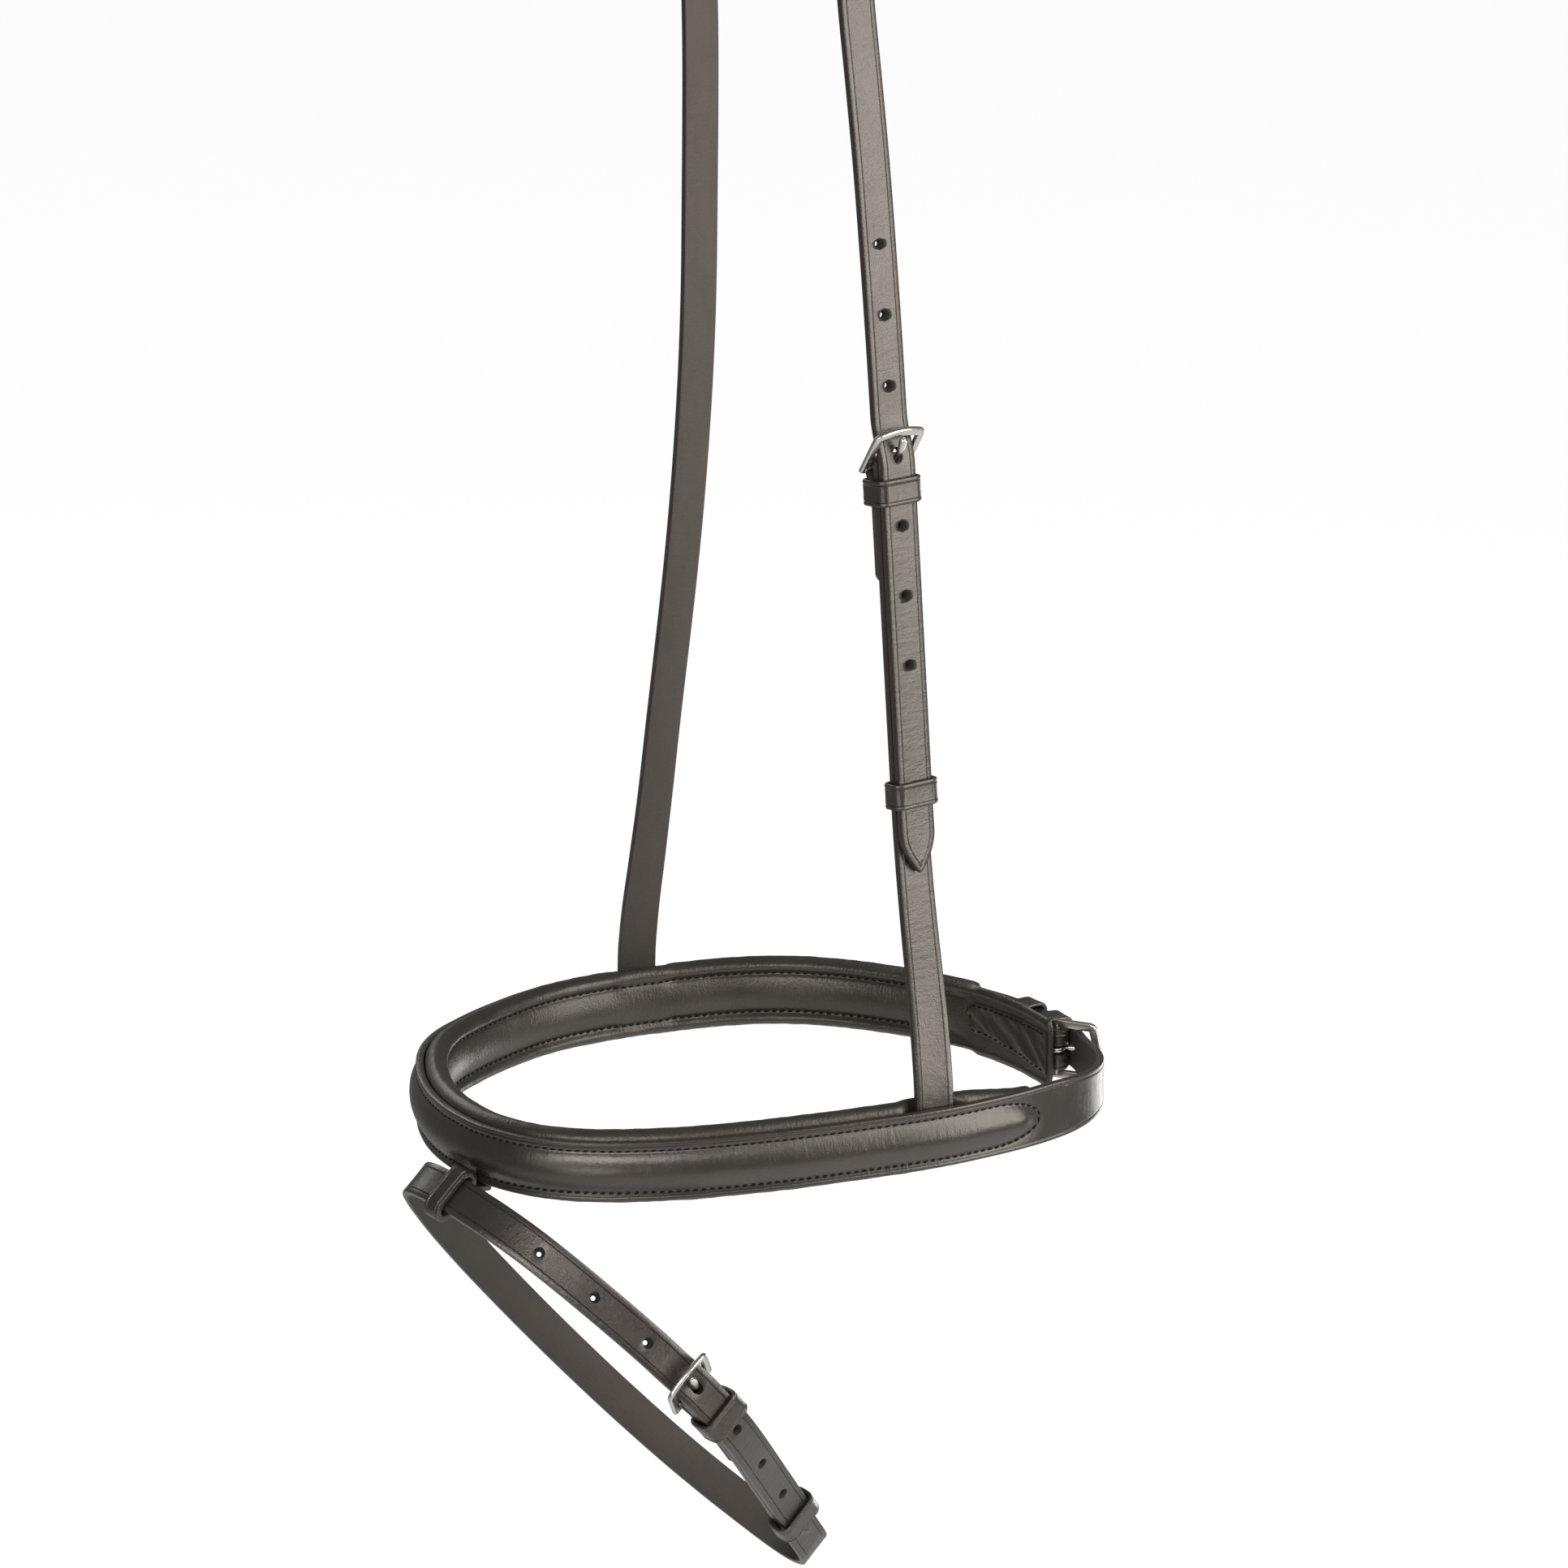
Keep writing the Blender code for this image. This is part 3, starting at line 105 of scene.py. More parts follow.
# %% The head strap's line
CROWN_RADIUS = 0.0425
CROWN_SPREAD = math.radians(80)
CROWN_STEPS = 8
CROWN_FLAT = 0.0070
HANG_HEIGHT = 0.4620
SEWN_DEPTH = 0.0060
SEWN_EXIT = 0.0140
SEWN_EASE = 0.0003
TWIST_LENGTH = 0.0900
CHEEK_LENGTH = 0.2496
HEAD_HOLES_ABOVE = 3
HEAD_HOLES_BELOW = 3
HEAD_TIP_BEYOND = 0.0755
HEAD_ROUTE_FAR = ((0.0835, -0.4250), (0.0760, -0.3903), (0.0689, -0.3505), (0.0615, -0.3112),
                  (0.0548, -0.2726), (0.0492, -0.2300), (0.0452, -0.1794), (0.0442, -0.1300),
                  (0.0436, -0.0850))
HEAD_ROUTE_NEAR = ((-0.0453, -0.0597), (-0.0509, -0.0930), (-0.0558, -0.1267),
                   (-0.0599, -0.1606), (-0.0637, -0.1948), (-0.0662, -0.2220),
                   (-0.0721, -0.2860), (-0.0784, -0.3550), (-0.0834, -0.3890),
                   (-0.0900, -0.4280))

# %% The noseband's line, its raised middle and its lining
NOSEBAND_LENGTH = 0.2355
NOSEBAND_WIDTH = 0.1980
NOSEBAND_CENTRE = (-0.01965, -0.00200)
NOSEBAND_PLAN = ((0.975, -0.495), (1.000, -0.121), (0.905, 0.280), (0.639, 0.723), (0.231, 0.939),
                 (-0.128, 1.000), (-0.445, 0.922), (-0.686, 0.788), (-0.880, 0.530),
                 (-1.015, 0.115), (-0.977, -0.293), (-0.672, -0.636), (-0.185, -0.863),
                 (0.231, -0.985), (0.558, -1.000), (0.779, -0.934), (0.919, -0.747))
FAR_CHEEK = 0.1900
NOSE_FRONT = 0.3960
NEAR_CHEEK_BACK = 0.1278
NEAR_PAD_BACK = 0.0828
FAR_PAD_START = -0.0060
RAISE = 0.0026
RAISED_WIDTH = 0.0146
RAISED_POINT = 0.0200
FAR_RAISE_START = 0.0580
RAISE_SHORT_OF_PAD = 0.0020
CLIMB_LENGTH = 0.0180
FAR_TAPER_START = 0.0400
FAR_TAPER = 0.0220
NEAR_TAPER = 0.0620
CHIN_HOLES_BELOW = 4
CHIN_TIP_BEYOND = 0.0320

LINING_HEIGHT = 0.0272
LINING_THICKNESS = 0.0086
LINING_LIP = 0.0045
DENT_SPREAD = 0.0060
DENT_SHARE = 0.04

# %% The flash strap's line and its loop
FLASH_DROP = math.radians(50)
FLASH_FORWARD = 0.0144
FLASH_BELOW = 0.0124
FLASH_PLAN = ((0.0000, 0.0000), (0.0039, -0.0115), (0.0122, -0.0273), (0.0402, -0.0513),
              (0.0722, -0.0674), (0.1004, -0.0716), (0.1394, -0.0622), (0.1684, -0.0530),
              (0.1940, -0.0452), (0.2080, -0.0385), (0.2115, -0.0280), (0.2040, -0.0135),
              (0.1784, 0.0092), (0.1344, 0.0280), (0.0754, 0.0378), (0.0214, 0.0333),
              (0.0010, 0.0205))
FLASH_BUCKLE = 0.1200
FLASH_HOLES_ABOVE = 3
FLASH_HOLES_BELOW = 3
FLASH_TIP_BEYOND = 0.0330
LOOP_WIDTH = 0.0070
LOOP_THICKNESS = 0.0026
LOOP_ROOM = 0.0009
NECK_HEIGHT = 0.0050
TAB_THICKNESS = 0.0028
TAB_DEPTH = 0.0080
TAB_BELOW = 0.0118
HINGE_RADIUS = 0.0012

MAX_TURN = math.radians(11)
MAX_SPAN = 0.0300
PROBE = 0.0002                     # the step with which slopes and directions are measured


# %% A guide line with rounded spans
def smoothstep(x):
    x = min(max(x, 0.0), 1.0)
    return x * x * (3 - 2 * x)


def spline(a, b, c, d, t):
    """A point between b and c on a smooth curve that also heeds a and d."""
    return b + 0.5 * t * ((c - a) + t * ((2 * a - 5 * b + 4 * c - d)
                          + t * (3 * (b - c) + d - a)))


def quarter(x, y, radius, first, steps):
    """Points on a quarter circle round (x, y), from an angle in degrees."""
    angles = [math.radians(first + 90 * k / steps) for k in range(steps + 1)]
    return [(x + radius * math.cos(angle), y + radius * math.sin(angle)) for angle in angles]


def turned(directions, origin):
    """The matrix whose x, y and z axes have these directions."""
    matrix = Matrix(directions).transposed().to_4x4()
    matrix.translation = origin
    return matrix


def lengths_along(points):
    """How far each point is along the line through them all."""
    lengths = [0.0]
    for a, b in zip(points, points[1:]):
        lengths.append(lengths[-1] + (b - a).length)
    return lengths


class Guide:
    """A line through chosen points. s runs along it, w outwards from it and v across it."""

    SAMPLE = 0.001

    def __init__(self, points, across, closed=False):
        self.closed = closed
        self.across = across
        knots = np.array([tuple(point) for point in points])
        if closed:
            knots = np.vstack([knots, knots[:1]])
        self.samples = self.sampled(knots)
        steps = np.linalg.norm(np.diff(self.samples, axis=0), axis=1)
        self.lengths = np.concatenate([[0.0], np.cumsum(steps)])
        self.length = float(self.lengths[-1])
        self.marks = []
        self.corners = []

    def sampled(self, knots):
        spans = np.linalg.norm(np.diff(knots, axis=0), axis=1)
        bends = self.second_derivatives(knots, spans)
        samples = [knots[0]]
        for i, span in enumerate(spans):
            count = max(2, round(span / self.SAMPLE))
            for j in range(1, count + 1):
                b = j / count
                a = 1 - b
                bend = ((a ** 3 - a) * bends[i] + (b ** 3 - b) * bends[i + 1]) * span ** 2 / 6
                samples.append(a * knots[i] + b * knots[i + 1] + bend)
        return np.array(samples)

    def second_derivatives(self, knots, spans):
        count = len(knots)
        matrix = np.zeros((count, count))
        target = np.zeros((count, 3))
        slopes = np.diff(knots, axis=0) / spans[:, None]
        for i in range(1, count - 1):
            matrix[i, i - 1:i + 2] = spans[i - 1], 2 * (spans[i - 1] + spans[i]), spans[i]
            target[i] = 6 * (slopes[i] - slopes[i - 1])
        matrix[0, 0] = 1
        matrix[-1, -1] = 1
        if self.closed:
            matrix[0, -1] = -1
            matrix[-1, 0] = 0
            matrix[-1, -2] = spans[-1]
            matrix[-1, -1] = 2 * (spans[-1] + spans[0])
            matrix[-1, 1] = spans[0]
            target[-1] = 6 * (slopes[0] - slopes[-1])
        return np.linalg.solve(matrix, target)

    def inside(self, s):
        """On a closed line, the same place between its first and last marks."""
        return (s - self.marks[0]) % self.length + self.marks[0] if self.closed else s

    def smooth_point(self, s):
        if self.closed:
            s = s % self.length
        return Vector([np.interp(s, self.lengths, self.samples[:, i]) for i in range(3)])

    def cut_spans(self, flats):
        """Cuts the line into spans: the flat stretches, and shorter ones between them."""
        if self.closed:
            flats = flats + [(flats[0][0] + self.length, flats[0][1] + self.length)]
        for (_, low), (high, _) in zip(flats, flats[1:]):
            self.marks += self.spread_marks(low, high)
        if not self.closed:
            self.marks = [0.0] + self.marks + [self.length]
        self.corners = self.find_corners()
        if self.closed:
            self.marks.append(self.marks[0] + self.length)
            self.corners.append(self.corners[0])
        gaps = [b - a for a, b in zip(self.marks, self.marks[1:])]
        ends = [gaps[-1]] if self.closed else [0.0]
        around = zip(ends + gaps, gaps + (gaps[:1] if self.closed else [0.0]))
        self.reaches = [min(before, after) / 2 for before, after in around]

    def spread_marks(self, low, high):
        steps = np.linspace(low, high, max(3, round((high - low) / self.SAMPLE)))
        points = [self.smooth_point(s) for s in steps]
        headings = [b - a for a, b in zip(points, points[1:])]
        share = (steps[1] - steps[0]) / MAX_SPAN
        costs = [share]
        for a, b in zip(headings, headings[1:]):
            costs.append(costs[-1] + max(a.angle(b) / MAX_TURN, share))
        costs = [0.0] + costs
        count = math.ceil(costs[-1])
        return [float(np.interp(costs[-1] * i / count, costs, steps)) for i in range(count + 1)]

    def find_corners(self):
        points = [self.smooth_point(s) for s in self.marks]
        headings = [b - a for a, b in zip(points, points[1:])]
        if self.closed:
            closing = points[0] - points[-1]
            headings = [closing] + headings + [closing]
        else:
            headings = [headings[0]] + headings + [headings[-1]]
        corners = []
        for s, point, before, after in zip(self.marks, points, headings, headings[1:]):
            across = self.across(s)
            along = (before.normalized() + after.normalized()).normalized()
            across = (across - across.dot(along) * along).normalized()
            sides = [heading.cross(across).normalized() for heading in (before, after)]
            middle = (sides[0] + sides[1]).normalized()
            corners.append((point, across, middle / middle.dot(sides[0])))
        return corners

    def straight(self, s, w, v):
        """The point at s, w, v on the straight spans."""
        i = int(np.clip(np.searchsorted(self.marks, s) - 1, 0, len(self.marks) - 2))
        share = (s - self.marks[i]) / (self.marks[i + 1] - self.marks[i])
        a, b = self.corners[i], self.corners[i + 1]
        start = a[0] + v * a[1] + w * a[2]
        return start.lerp(b[0] + v * b[1] + w * b[2], share)

    def place(self, s, w, v):
        """The same point with the nearest corner rounded off, between its neighbour spans."""
        s = self.inside(s)
        i = min(int(np.searchsorted(self.marks, s)), len(self.marks) - 1)
        if i > 0 and s - self.marks[i - 1] < self.marks[i] - s:
            i -= 1
        mark, reach = self.marks[i], self.reaches[i]
        if abs(s - mark) >= reach:
            return self.straight(s, w, v)
        middle = self.straight(mark, w, v)
        before = self.straight(self.inside(mark - reach), w, v)
        after = self.straight(self.inside(mark + reach), w, v)
        t = (s - mark + reach) / (2 * reach)
        return before.lerp(middle, t).lerp(middle.lerp(after, t), t)

    def frame(self, s):
        """Tangent, across and outward directions at s."""
        tangent = (self.place(s + PROBE, 0, 0) - self.place(s - PROBE, 0, 0)).normalized()
        across = self.place(s, 0, PROBE) - self.place(s, 0, -PROBE)
        across = (across - across.dot(tangent) * tangent).normalized()
        return tangent, across, tangent.cross(across)

    def matrix(self, s, w=0.0):
        return turned(self.frame(s), self.place(s, w, 0.0))


def stretch(middle, half):
    return (middle - half, middle + half)


def buckle_flat(bar, keeper_distance):
    return (bar - RAMP, bar + keeper_distance + KEEPER_WIDTH / 2 + GAP)


# %% The three guide lines
def noseband_guide():
    centre = Vector((*NOSEBAND_CENTRE, -HANG_HEIGHT))
    half = (NOSEBAND_LENGTH / 2, NOSEBAND_WIDTH / 2)
    points = [centre + Vector((x * half[0], y * half[1], 0.0)) for x, y in NOSEBAND_PLAN]
    guide = Guide(points, lambda s: Vector((0, 0, 1)), closed=True)
    guide.cut_spans([buckle_flat(0.0, KEEPER_FROM_BAR),
                     stretch(CHIN_RUNNER_FROM_BAR, KEEPER_WIDTH / 2 + RUNNER_TRAVEL),
                     stretch(FAR_CHEEK, HEAD_WIDTH / 2 + GAP),
                     stretch(NOSE_FRONT, LOOP_WIDTH / 2 + GAP),
                     stretch(guide.length - NEAR_CHEEK_BACK, HEAD_WIDTH / 2 + GAP)])
    return guide


def head_guide(ring):
    level = -GAP - HEAD_THICKNESS / 2
    far_end = ring.straight(FAR_CHEEK, level, -SEWN_DEPTH)
    far_exit = ring.straight(FAR_CHEEK, level, SEWN_EXIT)
    near_cheek = ring.length - NEAR_CHEEK_BACK
    near_exit = ring.straight(near_cheek, level, SEWN_EXIT)
    near_end = ring.straight(near_cheek, level, -SEWN_DEPTH)
    crown_turn = CROWN_FLAT / CROWN_RADIUS
    crown = Vector((0, 0, HEAD_THICKNESS / 2 - CROWN_RADIUS * math.cos(crown_turn / 2)))
    points = [far_end, far_end.lerp(far_exit, 0.5), far_exit]
    points += [Vector((0, y, z)) for y, z in HEAD_ROUTE_FAR]
    for i in range(CROWN_STEPS + 1):
        angle = CROWN_SPREAD * (1 - 2 * i / CROWN_STEPS)
        points.append(crown + CROWN_RADIUS * Vector((0, math.sin(angle), math.cos(angle))))
    points += [Vector((0, y, z)) for y, z in HEAD_ROUTE_NEAR]
    points += [near_exit, near_exit.lerp(near_end, 0.5), near_end]
    far_along = -ring.frame(FAR_CHEEK)[0]
    near_along = ring.frame(near_cheek)[0]
    square = Vector((1, 0, 0))
    total = sum((b - a).length for a, b in zip(points, points[1:]))
    sewn = SEWN_DEPTH + SEWN_EXIT

    def across(s):
        if s < total / 2:
            return far_along.lerp(square, smoothstep((s - sewn) / TWIST_LENGTH))
        return near_along.lerp(square, smoothstep((total - s - sewn) / TWIST_LENGTH))

    guide = Guide(points, across)
    top = float(guide.lengths[guide.samples[:, 2].argmax()])
    bar = guide.length - CHEEK_LENGTH
    runner = bar + HEAD_RUNNER_FROM_BAR
    guide.cut_spans([(0.0, sewn), stretch(top, CROWN_FLAT / 2),
                     (bar - RAMP, runner + KEEPER_WIDTH / 2 + HEAD_RUNNER_DROP),
                     (guide.length - sewn, guide.length)])
    return guide


def flash_guide(ring):
    slope = Vector((math.cos(FLASH_DROP), 0, -math.sin(FLASH_DROP)))
    upright = Vector((math.sin(FLASH_DROP), 0, math.cos(FLASH_DROP)))
    side = Vector((0, 1, 0))
    top = ring.straight(NOSE_FRONT, FLASH_FORWARD, -FLASH_BELOW)
    points = [top + a * slope + b * side for a, b in FLASH_PLAN]
    guide = Guide(points, lambda s: upright, closed=True)
    guide.cut_spans([stretch(0.0, LOOP_WIDTH / 2 + GAP),
                     buckle_flat(FLASH_BUCKLE, FLASH_KEEPER_FROM_BAR),
                     stretch(FLASH_BUCKLE + FLASH_RUNNER_FROM_BAR,
                             KEEPER_WIDTH / 2 + RUNNER_TRAVEL)])
    return guide


ring = noseband_guide()
head = head_guide(ring)
flash = flash_guide(ring)
NEAR_CHEEK = ring.length - NEAR_CHEEK_BACK
NEAR_PAD_END = ring.length - NEAR_PAD_BACK
print("noseband, head strap and flash strap lines:",
      [round(guide.length, 3) for guide in (ring, head, flash)])

# %% [markdown]
# ## Routes and buckle rules
#
# A strap runs at some level beside its guide line: under a buckle's end rail, up over the bar,
# and on top of the leather behind it. The other end folds back round the bar. A route lists
# those levels, and turns a place on the flat leather into a place in the room.


# %% A route beside a guide line
class Route:
    """The middle of a strap's thickness, as points (s, w). u is the length along it."""

    STEP = 0.0024

    def __init__(self, guide, points):
        self.guide = guide
        self.points = [Vector(points[0])]
        for point in points[1:]:
            self.run_to(Vector(point))
        self.marks = lengths_along(self.points)
        self.length = self.marks[-1]
        self.normals = self.mitred_normals()

    def run_to(self, point):
        start = self.points[-1]
        count = max(1, math.ceil(abs(point.x - start.x) / self.STEP))
        self.points += [start.lerp(point, i / count) for i in range(1, count + 1)]

    def mitred_normals(self):
        sides = []
        for a, b in zip(self.points, self.points[1:]):
            along = (b - a).normalized()
            sides.append(Vector((-along.y, along.x)))
        normals = [sides[0]]
        for a, b in zip(sides, sides[1:]):
            middle = (a + b).normalized()
            normals.append(middle / middle.dot(a))
        return normals + [sides[-1]]

    def bend(self, u, v, d):
        """Where a point of the flat pattern goes: u along, v across, d above the middle."""
        i = int(np.clip(np.searchsorted(self.marks, u) - 1, 0, len(self.marks) - 2))
        share = (u - self.marks[i]) / (self.marks[i + 1] - self.marks[i])
        point = self.points[i].lerp(self.points[i + 1], share)
        s, w = point + d * self.normals[i].lerp(self.normals[i + 1], share)
        return self.guide.place(s, w, v)

    def level(self, u):
        return float(np.interp(u, self.marks, [point.y for point in self.points]))

    def at(self, s):
        """The length u at which the last run passes s."""
        for i in range(len(self.points) - 1, 0, -1):
            a, b = self.points[i - 1], self.points[i]
            if a.x <= s <= b.x:
                return self.marks[i - 1] + (s - a.x) / (b.x - a.x) * (b - a).length
        return self.length


# %% The rules at a buckle
FOLD_STEPS = 18
RAMP_STEPS = 12
CROSSING_STEPS = 20


class Buckle:
    """What a bar, the leather folded round it and the strap end over it share."""

    def __init__(self, guide, bar, thickness, main_level):
        self.guide = guide
        self.bar = bar
        self.thickness = thickness
        self.main_level = main_level
        self.tail_thickness = thickness * SKIVE
        self.tail_level = main_level - (thickness + self.tail_thickness) / 2 - GAP
        self.fold_radius = BAR_RADIUS + GAP + thickness / 2
        self.tail_radius = BAR_RADIUS + GAP + self.tail_thickness / 2
        self.level = main_level - self.fold_radius
        self.over_main = main_level + thickness + GAP
        self.fold_length = math.pi * (self.fold_radius + self.tail_radius) / 2
        self.tail_run = math.hypot(SETTLE, self.spread(0.0))

    def spread(self, distance):
        drop = self.tail_level - (self.level - self.tail_radius)
        return drop * max(0.0, 1 - distance / SETTLE)

    def skive(self, u):
        """Share of the full thickness at u along the folded strap."""
        start = TAIL_LENGTH - SETTLE + self.tail_run
        return SKIVE + (1 - SKIVE) * smoothstep((u - start) / self.fold_length)

    def fold(self):
        points = [(self.bar + TAIL_LENGTH, self.tail_level),
                  (self.bar + SETTLE, self.tail_level)]
        for i in range(FOLD_STEPS + 1):
            share = i / FOLD_STEPS
            angle = math.pi * (1.5 - share)
            radius = self.tail_radius + (self.fold_radius - self.tail_radius) * share
            points.append((self.bar + radius * math.cos(angle),
                           self.level + radius * math.sin(angle)))
        points.append((self.bar + SETTLE, self.main_level))
        return points

    def over(self, bar, low_level, reach, climb=()):
        points = []
        for i in range(RAMP_STEPS + 1):
            share = i / RAMP_STEPS
            rise = smoothstep(share) * (self.over_main - low_level)
            points.append((bar - RAMP * (1 - share), low_level + rise))
        points += [(bar + distance, self.over_main + height) for distance, height in climb]
        points.append((bar + reach, points[-1][1]))
        return points

    def buckled_route(self, start, bar, low_level, beyond, climb=()):
        """The strap end's route over the bar, and the u of the hole that the tongue is in."""
        over = self.over(bar, low_level, beyond, climb)
        probe = Route(self.guide, start + over)
        used = self.tongue_crossing(probe, bar)
        end, level = over.pop()
        over.append((end - (probe.length - used - beyond), level))
        return Route(self.guide, start + over), used

    def tongue_crossing(self, route, bar):
        cos, sin = math.cos(BUCKLE_TILT), math.sin(BUCKLE_TILT)
        line = tongue_rise()
        for (x1, z1), (x2, z2) in zip(line, line[1:]):
            for i in range(CROSSING_STEPS):
                x = x1 + (x2 - x1) * i / CROSSING_STEPS
                z = z1 + (z2 - z1) * i / CROSSING_STEPS
                u = route.at(bar - x * cos + z * sin)
                if self.level + x * sin + z * cos > route.level(u):
                    return u
        return route.at(bar)


def tongue_rise():
    """The tongue's middle line from its hook on the bar to its tip on the end rail."""
    hook = BAR_RADIUS + TONGUE_GAP + TONGUE_RADIUS
    rest = RAIL_THICKNESS / 2 + TONGUE_TIP_RADIUS + TONGUE_GAP
    tip = BUCKLE_REACH - RAIL_WIDTH / 2 + TONGUE_TIP_RADIUS / 2
    leave = (hook * math.cos(TONGUE_HOOK_END), hook * math.sin(TONGUE_HOOK_END))
    shares = ((0.24, 0.75), (0.46, 0.95), (0.68, 1.25), (0.86, 1.15))
    return [leave] + [(tip * x, rest * z) for x, z in shares] + [(tip, rest)]


# %% [markdown]
# ## Skins from a grid
#
# A strap, a padded roll and a keeper are all one sheet of faces wrapped round a section. A
# grid that is made by one operator and then moved, vertex by vertex, to its place keeps neat
# rows along the piece. Merging the seam closes it, and filling the ends makes it a solid.


# %% Wrapping a grid
MERGE = 0.000004                   # points this close are one
SLIVER = 0.000002                  # edges this short are dissolved


def wrapped(columns, rows, place, closed=False, flat=None):
    """A skin whose vertex (i, j) is at place(i, j). j always goes once round the section.

    closed joins the last column to the first. flat(i, j) gives the place on the flat leather
    and how near it is to a cut edge, for the materials.
    """
    bm = bmesh.new()
    if flat:
        flat_layer = bm.verts.layers.float_vector.new("flat")
        rim_layer = bm.verts.layers.float.new("rim")
    bmesh.ops.create_grid(bm, x_segments=columns, y_segments=rows, size=1.0)
    bm.verts.ensure_lookup_table()
    for vert in bm.verts:
        i = round((vert.co.x + 1) / 2 * columns)
        j = round((vert.co.y + 1) / 2 * rows) % rows
        if closed:
            i = i % columns
        vert.co = place(i, j)
        if flat:
            vert[flat_layer], vert[rim_layer] = flat(i, j)
    bmesh.ops.remove_doubles(bm, verts=bm.verts, dist=MERGE)
    bmesh.ops.dissolve_degenerate(bm, edges=bm.edges, dist=SLIVER)
    ends = [edge for edge in bm.edges if edge.is_boundary]
    if ends:
        bmesh.ops.holes_fill(bm, edges=ends, sides=0)
    bmesh.ops.recalc_face_normals(bm, faces=bm.faces)
    return bm


def in_scene(name, data):
    obj = bpy.data.objects.new(name, data)
    bpy.context.scene.collection.objects.link(obj)
    return obj


def piece_from(bm, name, material, body, replaced=(), sharp=40):
    """A finished piece that rides on its body and stands for the named nodes."""
    mesh = bpy.data.meshes.new(name)
    bm.to_mesh(mesh)
    bm.free()
    mesh.materials.append(material)
    mesh.shade_smooth()
    mesh.set_sharp_from_angle(angle=math.radians(sharp))
    obj = in_scene(name, mesh)
    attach(obj, body)
    if replaced:
        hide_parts(*replaced)
    return obj


def set_values(mesh, name, values):
    """Keeps one number per vertex for the materials to read."""
    attribute = mesh.attributes.new(name, "FLOAT", "POINT")
    attribute.data.foreach_set("value", np.array(values, dtype=np.float32))


# %% [markdown]
# ## Leather, metal and thread
#
# Every material is made of nodes only. Leather is near black with fine grain, a few stretch
# wrinkles, worn red-brown cut edges and a rough brown flesh side. Each leather piece keeps
# its flat pattern's place as an attribute, so grain and wrinkles follow the strap. Light and
# shade are painted in two places: the flesh side is painted lighter high up and darker low
# down, and the walls of punched holes are painted near black.


# %% Arithmetic on material sockets
class Value:
    """A socket in a material. Arithmetic on it adds nodes."""

    def __init__(self, tree, socket):
        self.tree = tree
        self.socket = socket

    def math(self, operation, *others, clamp=False):
        node = self.tree.nodes.new("ShaderNodeMath")
        node.operation = operation
        node.use_clamp = clamp
        for socket, value in zip(node.inputs, (self, *others)):
            connect(self.tree, socket, value)
        return Value(self.tree, node.outputs[0])

    def constant(self, number):
        node = self.tree.nodes.new("ShaderNodeValue")
        node.outputs[0].default_value = number
        return Value(self.tree, node.outputs[0])

    def __add__(self, other):
        return self.math("ADD", other)

    def __mul__(self, other):
        return self.math("MULTIPLY", other)

    def __sub__(self, other):
        return self.math("SUBTRACT", other)

    def __rsub__(self, other):
        return self.constant(other).math("SUBTRACT", self)

    __radd__ = __add__
    __rmul__ = __mul__


def connect(tree, socket, value):
    if isinstance(value, Value):
        tree.links.new(value.socket, socket)
    else:
        socket.default_value = value


# %% A material and its nodes
class Finish:
    """A material with a Principled shader, and short ways to add nodes in front of it."""

    def __init__(self, name):
        self.material = bpy.data.materials.new(name)
        self.material.use_nodes = True
        self.tree = self.material.node_tree
        self.shader = self.tree.nodes["Principled BSDF"]

    def node(self, kind, inputs, output=0, **settings):
        node = self.tree.nodes.new("ShaderNode" + kind)
        for key, value in settings.items():
            setattr(node, key, value)
        for key, value in inputs.items():
            connect(self.tree, node.inputs[key], value)
        return Value(self.tree, node.outputs[output])

    def mix(self, share, a, b):
        return self.node("Mix", {0: share, 6: a, 7: b}, output=2, data_type="RGBA")

    def between(self, value, low, high):
        """0 where the value is at low, 1 where it is at high."""
        return self.node("MapRange", {"Value": value, "From Min": low, "From Max": high},
                         interpolation_type="SMOOTHSTEP")

    def place(self):
        return self.node("TexCoord", {}, output=3)

    def flat(self):
        return self.node("Attribute", {}, output=1, attribute_name="flat")

    def number(self, name):
        return self.node("Attribute", {}, output=2, attribute_name=name)

    def part(self, vector, axis):
        return self.node("SeparateXYZ", {"Vector": vector}, output=axis)

    def stretched(self, where, scale):
        return self.node("Mapping", {"Vector": where, "Scale": scale})

    def noise(self, where, scale, detail=3.0, roughness=0.55):
        return self.node("TexNoise", {"Vector": where, "Scale": scale, "Detail": detail,
                                      "Roughness": roughness})

    def cells(self, where, scale):
        return self.node("TexVoronoi", {"Vector": where, "Scale": scale, "Randomness": 0.9},
                         feature="SMOOTH_F1")

    def bump(self, height, depth):
        """Feeds a height from 0 to 1, for a relief of the given depth in metres."""
        normal = self.node("Bump", {"Height": height, "Distance": depth, "Strength": 1.0})
        self.feed("Normal", normal)

    def feed(self, name, value):
        """Links a node's value to the shader's socket, or sets a fixed one there."""
        connect(self.tree, self.shader.inputs[name], value)


def colour(red, green, blue):
    return (red, green, blue, 1.0)


# %% Bridle leather
WARM = colour(1.0, 0.91, 0.81)


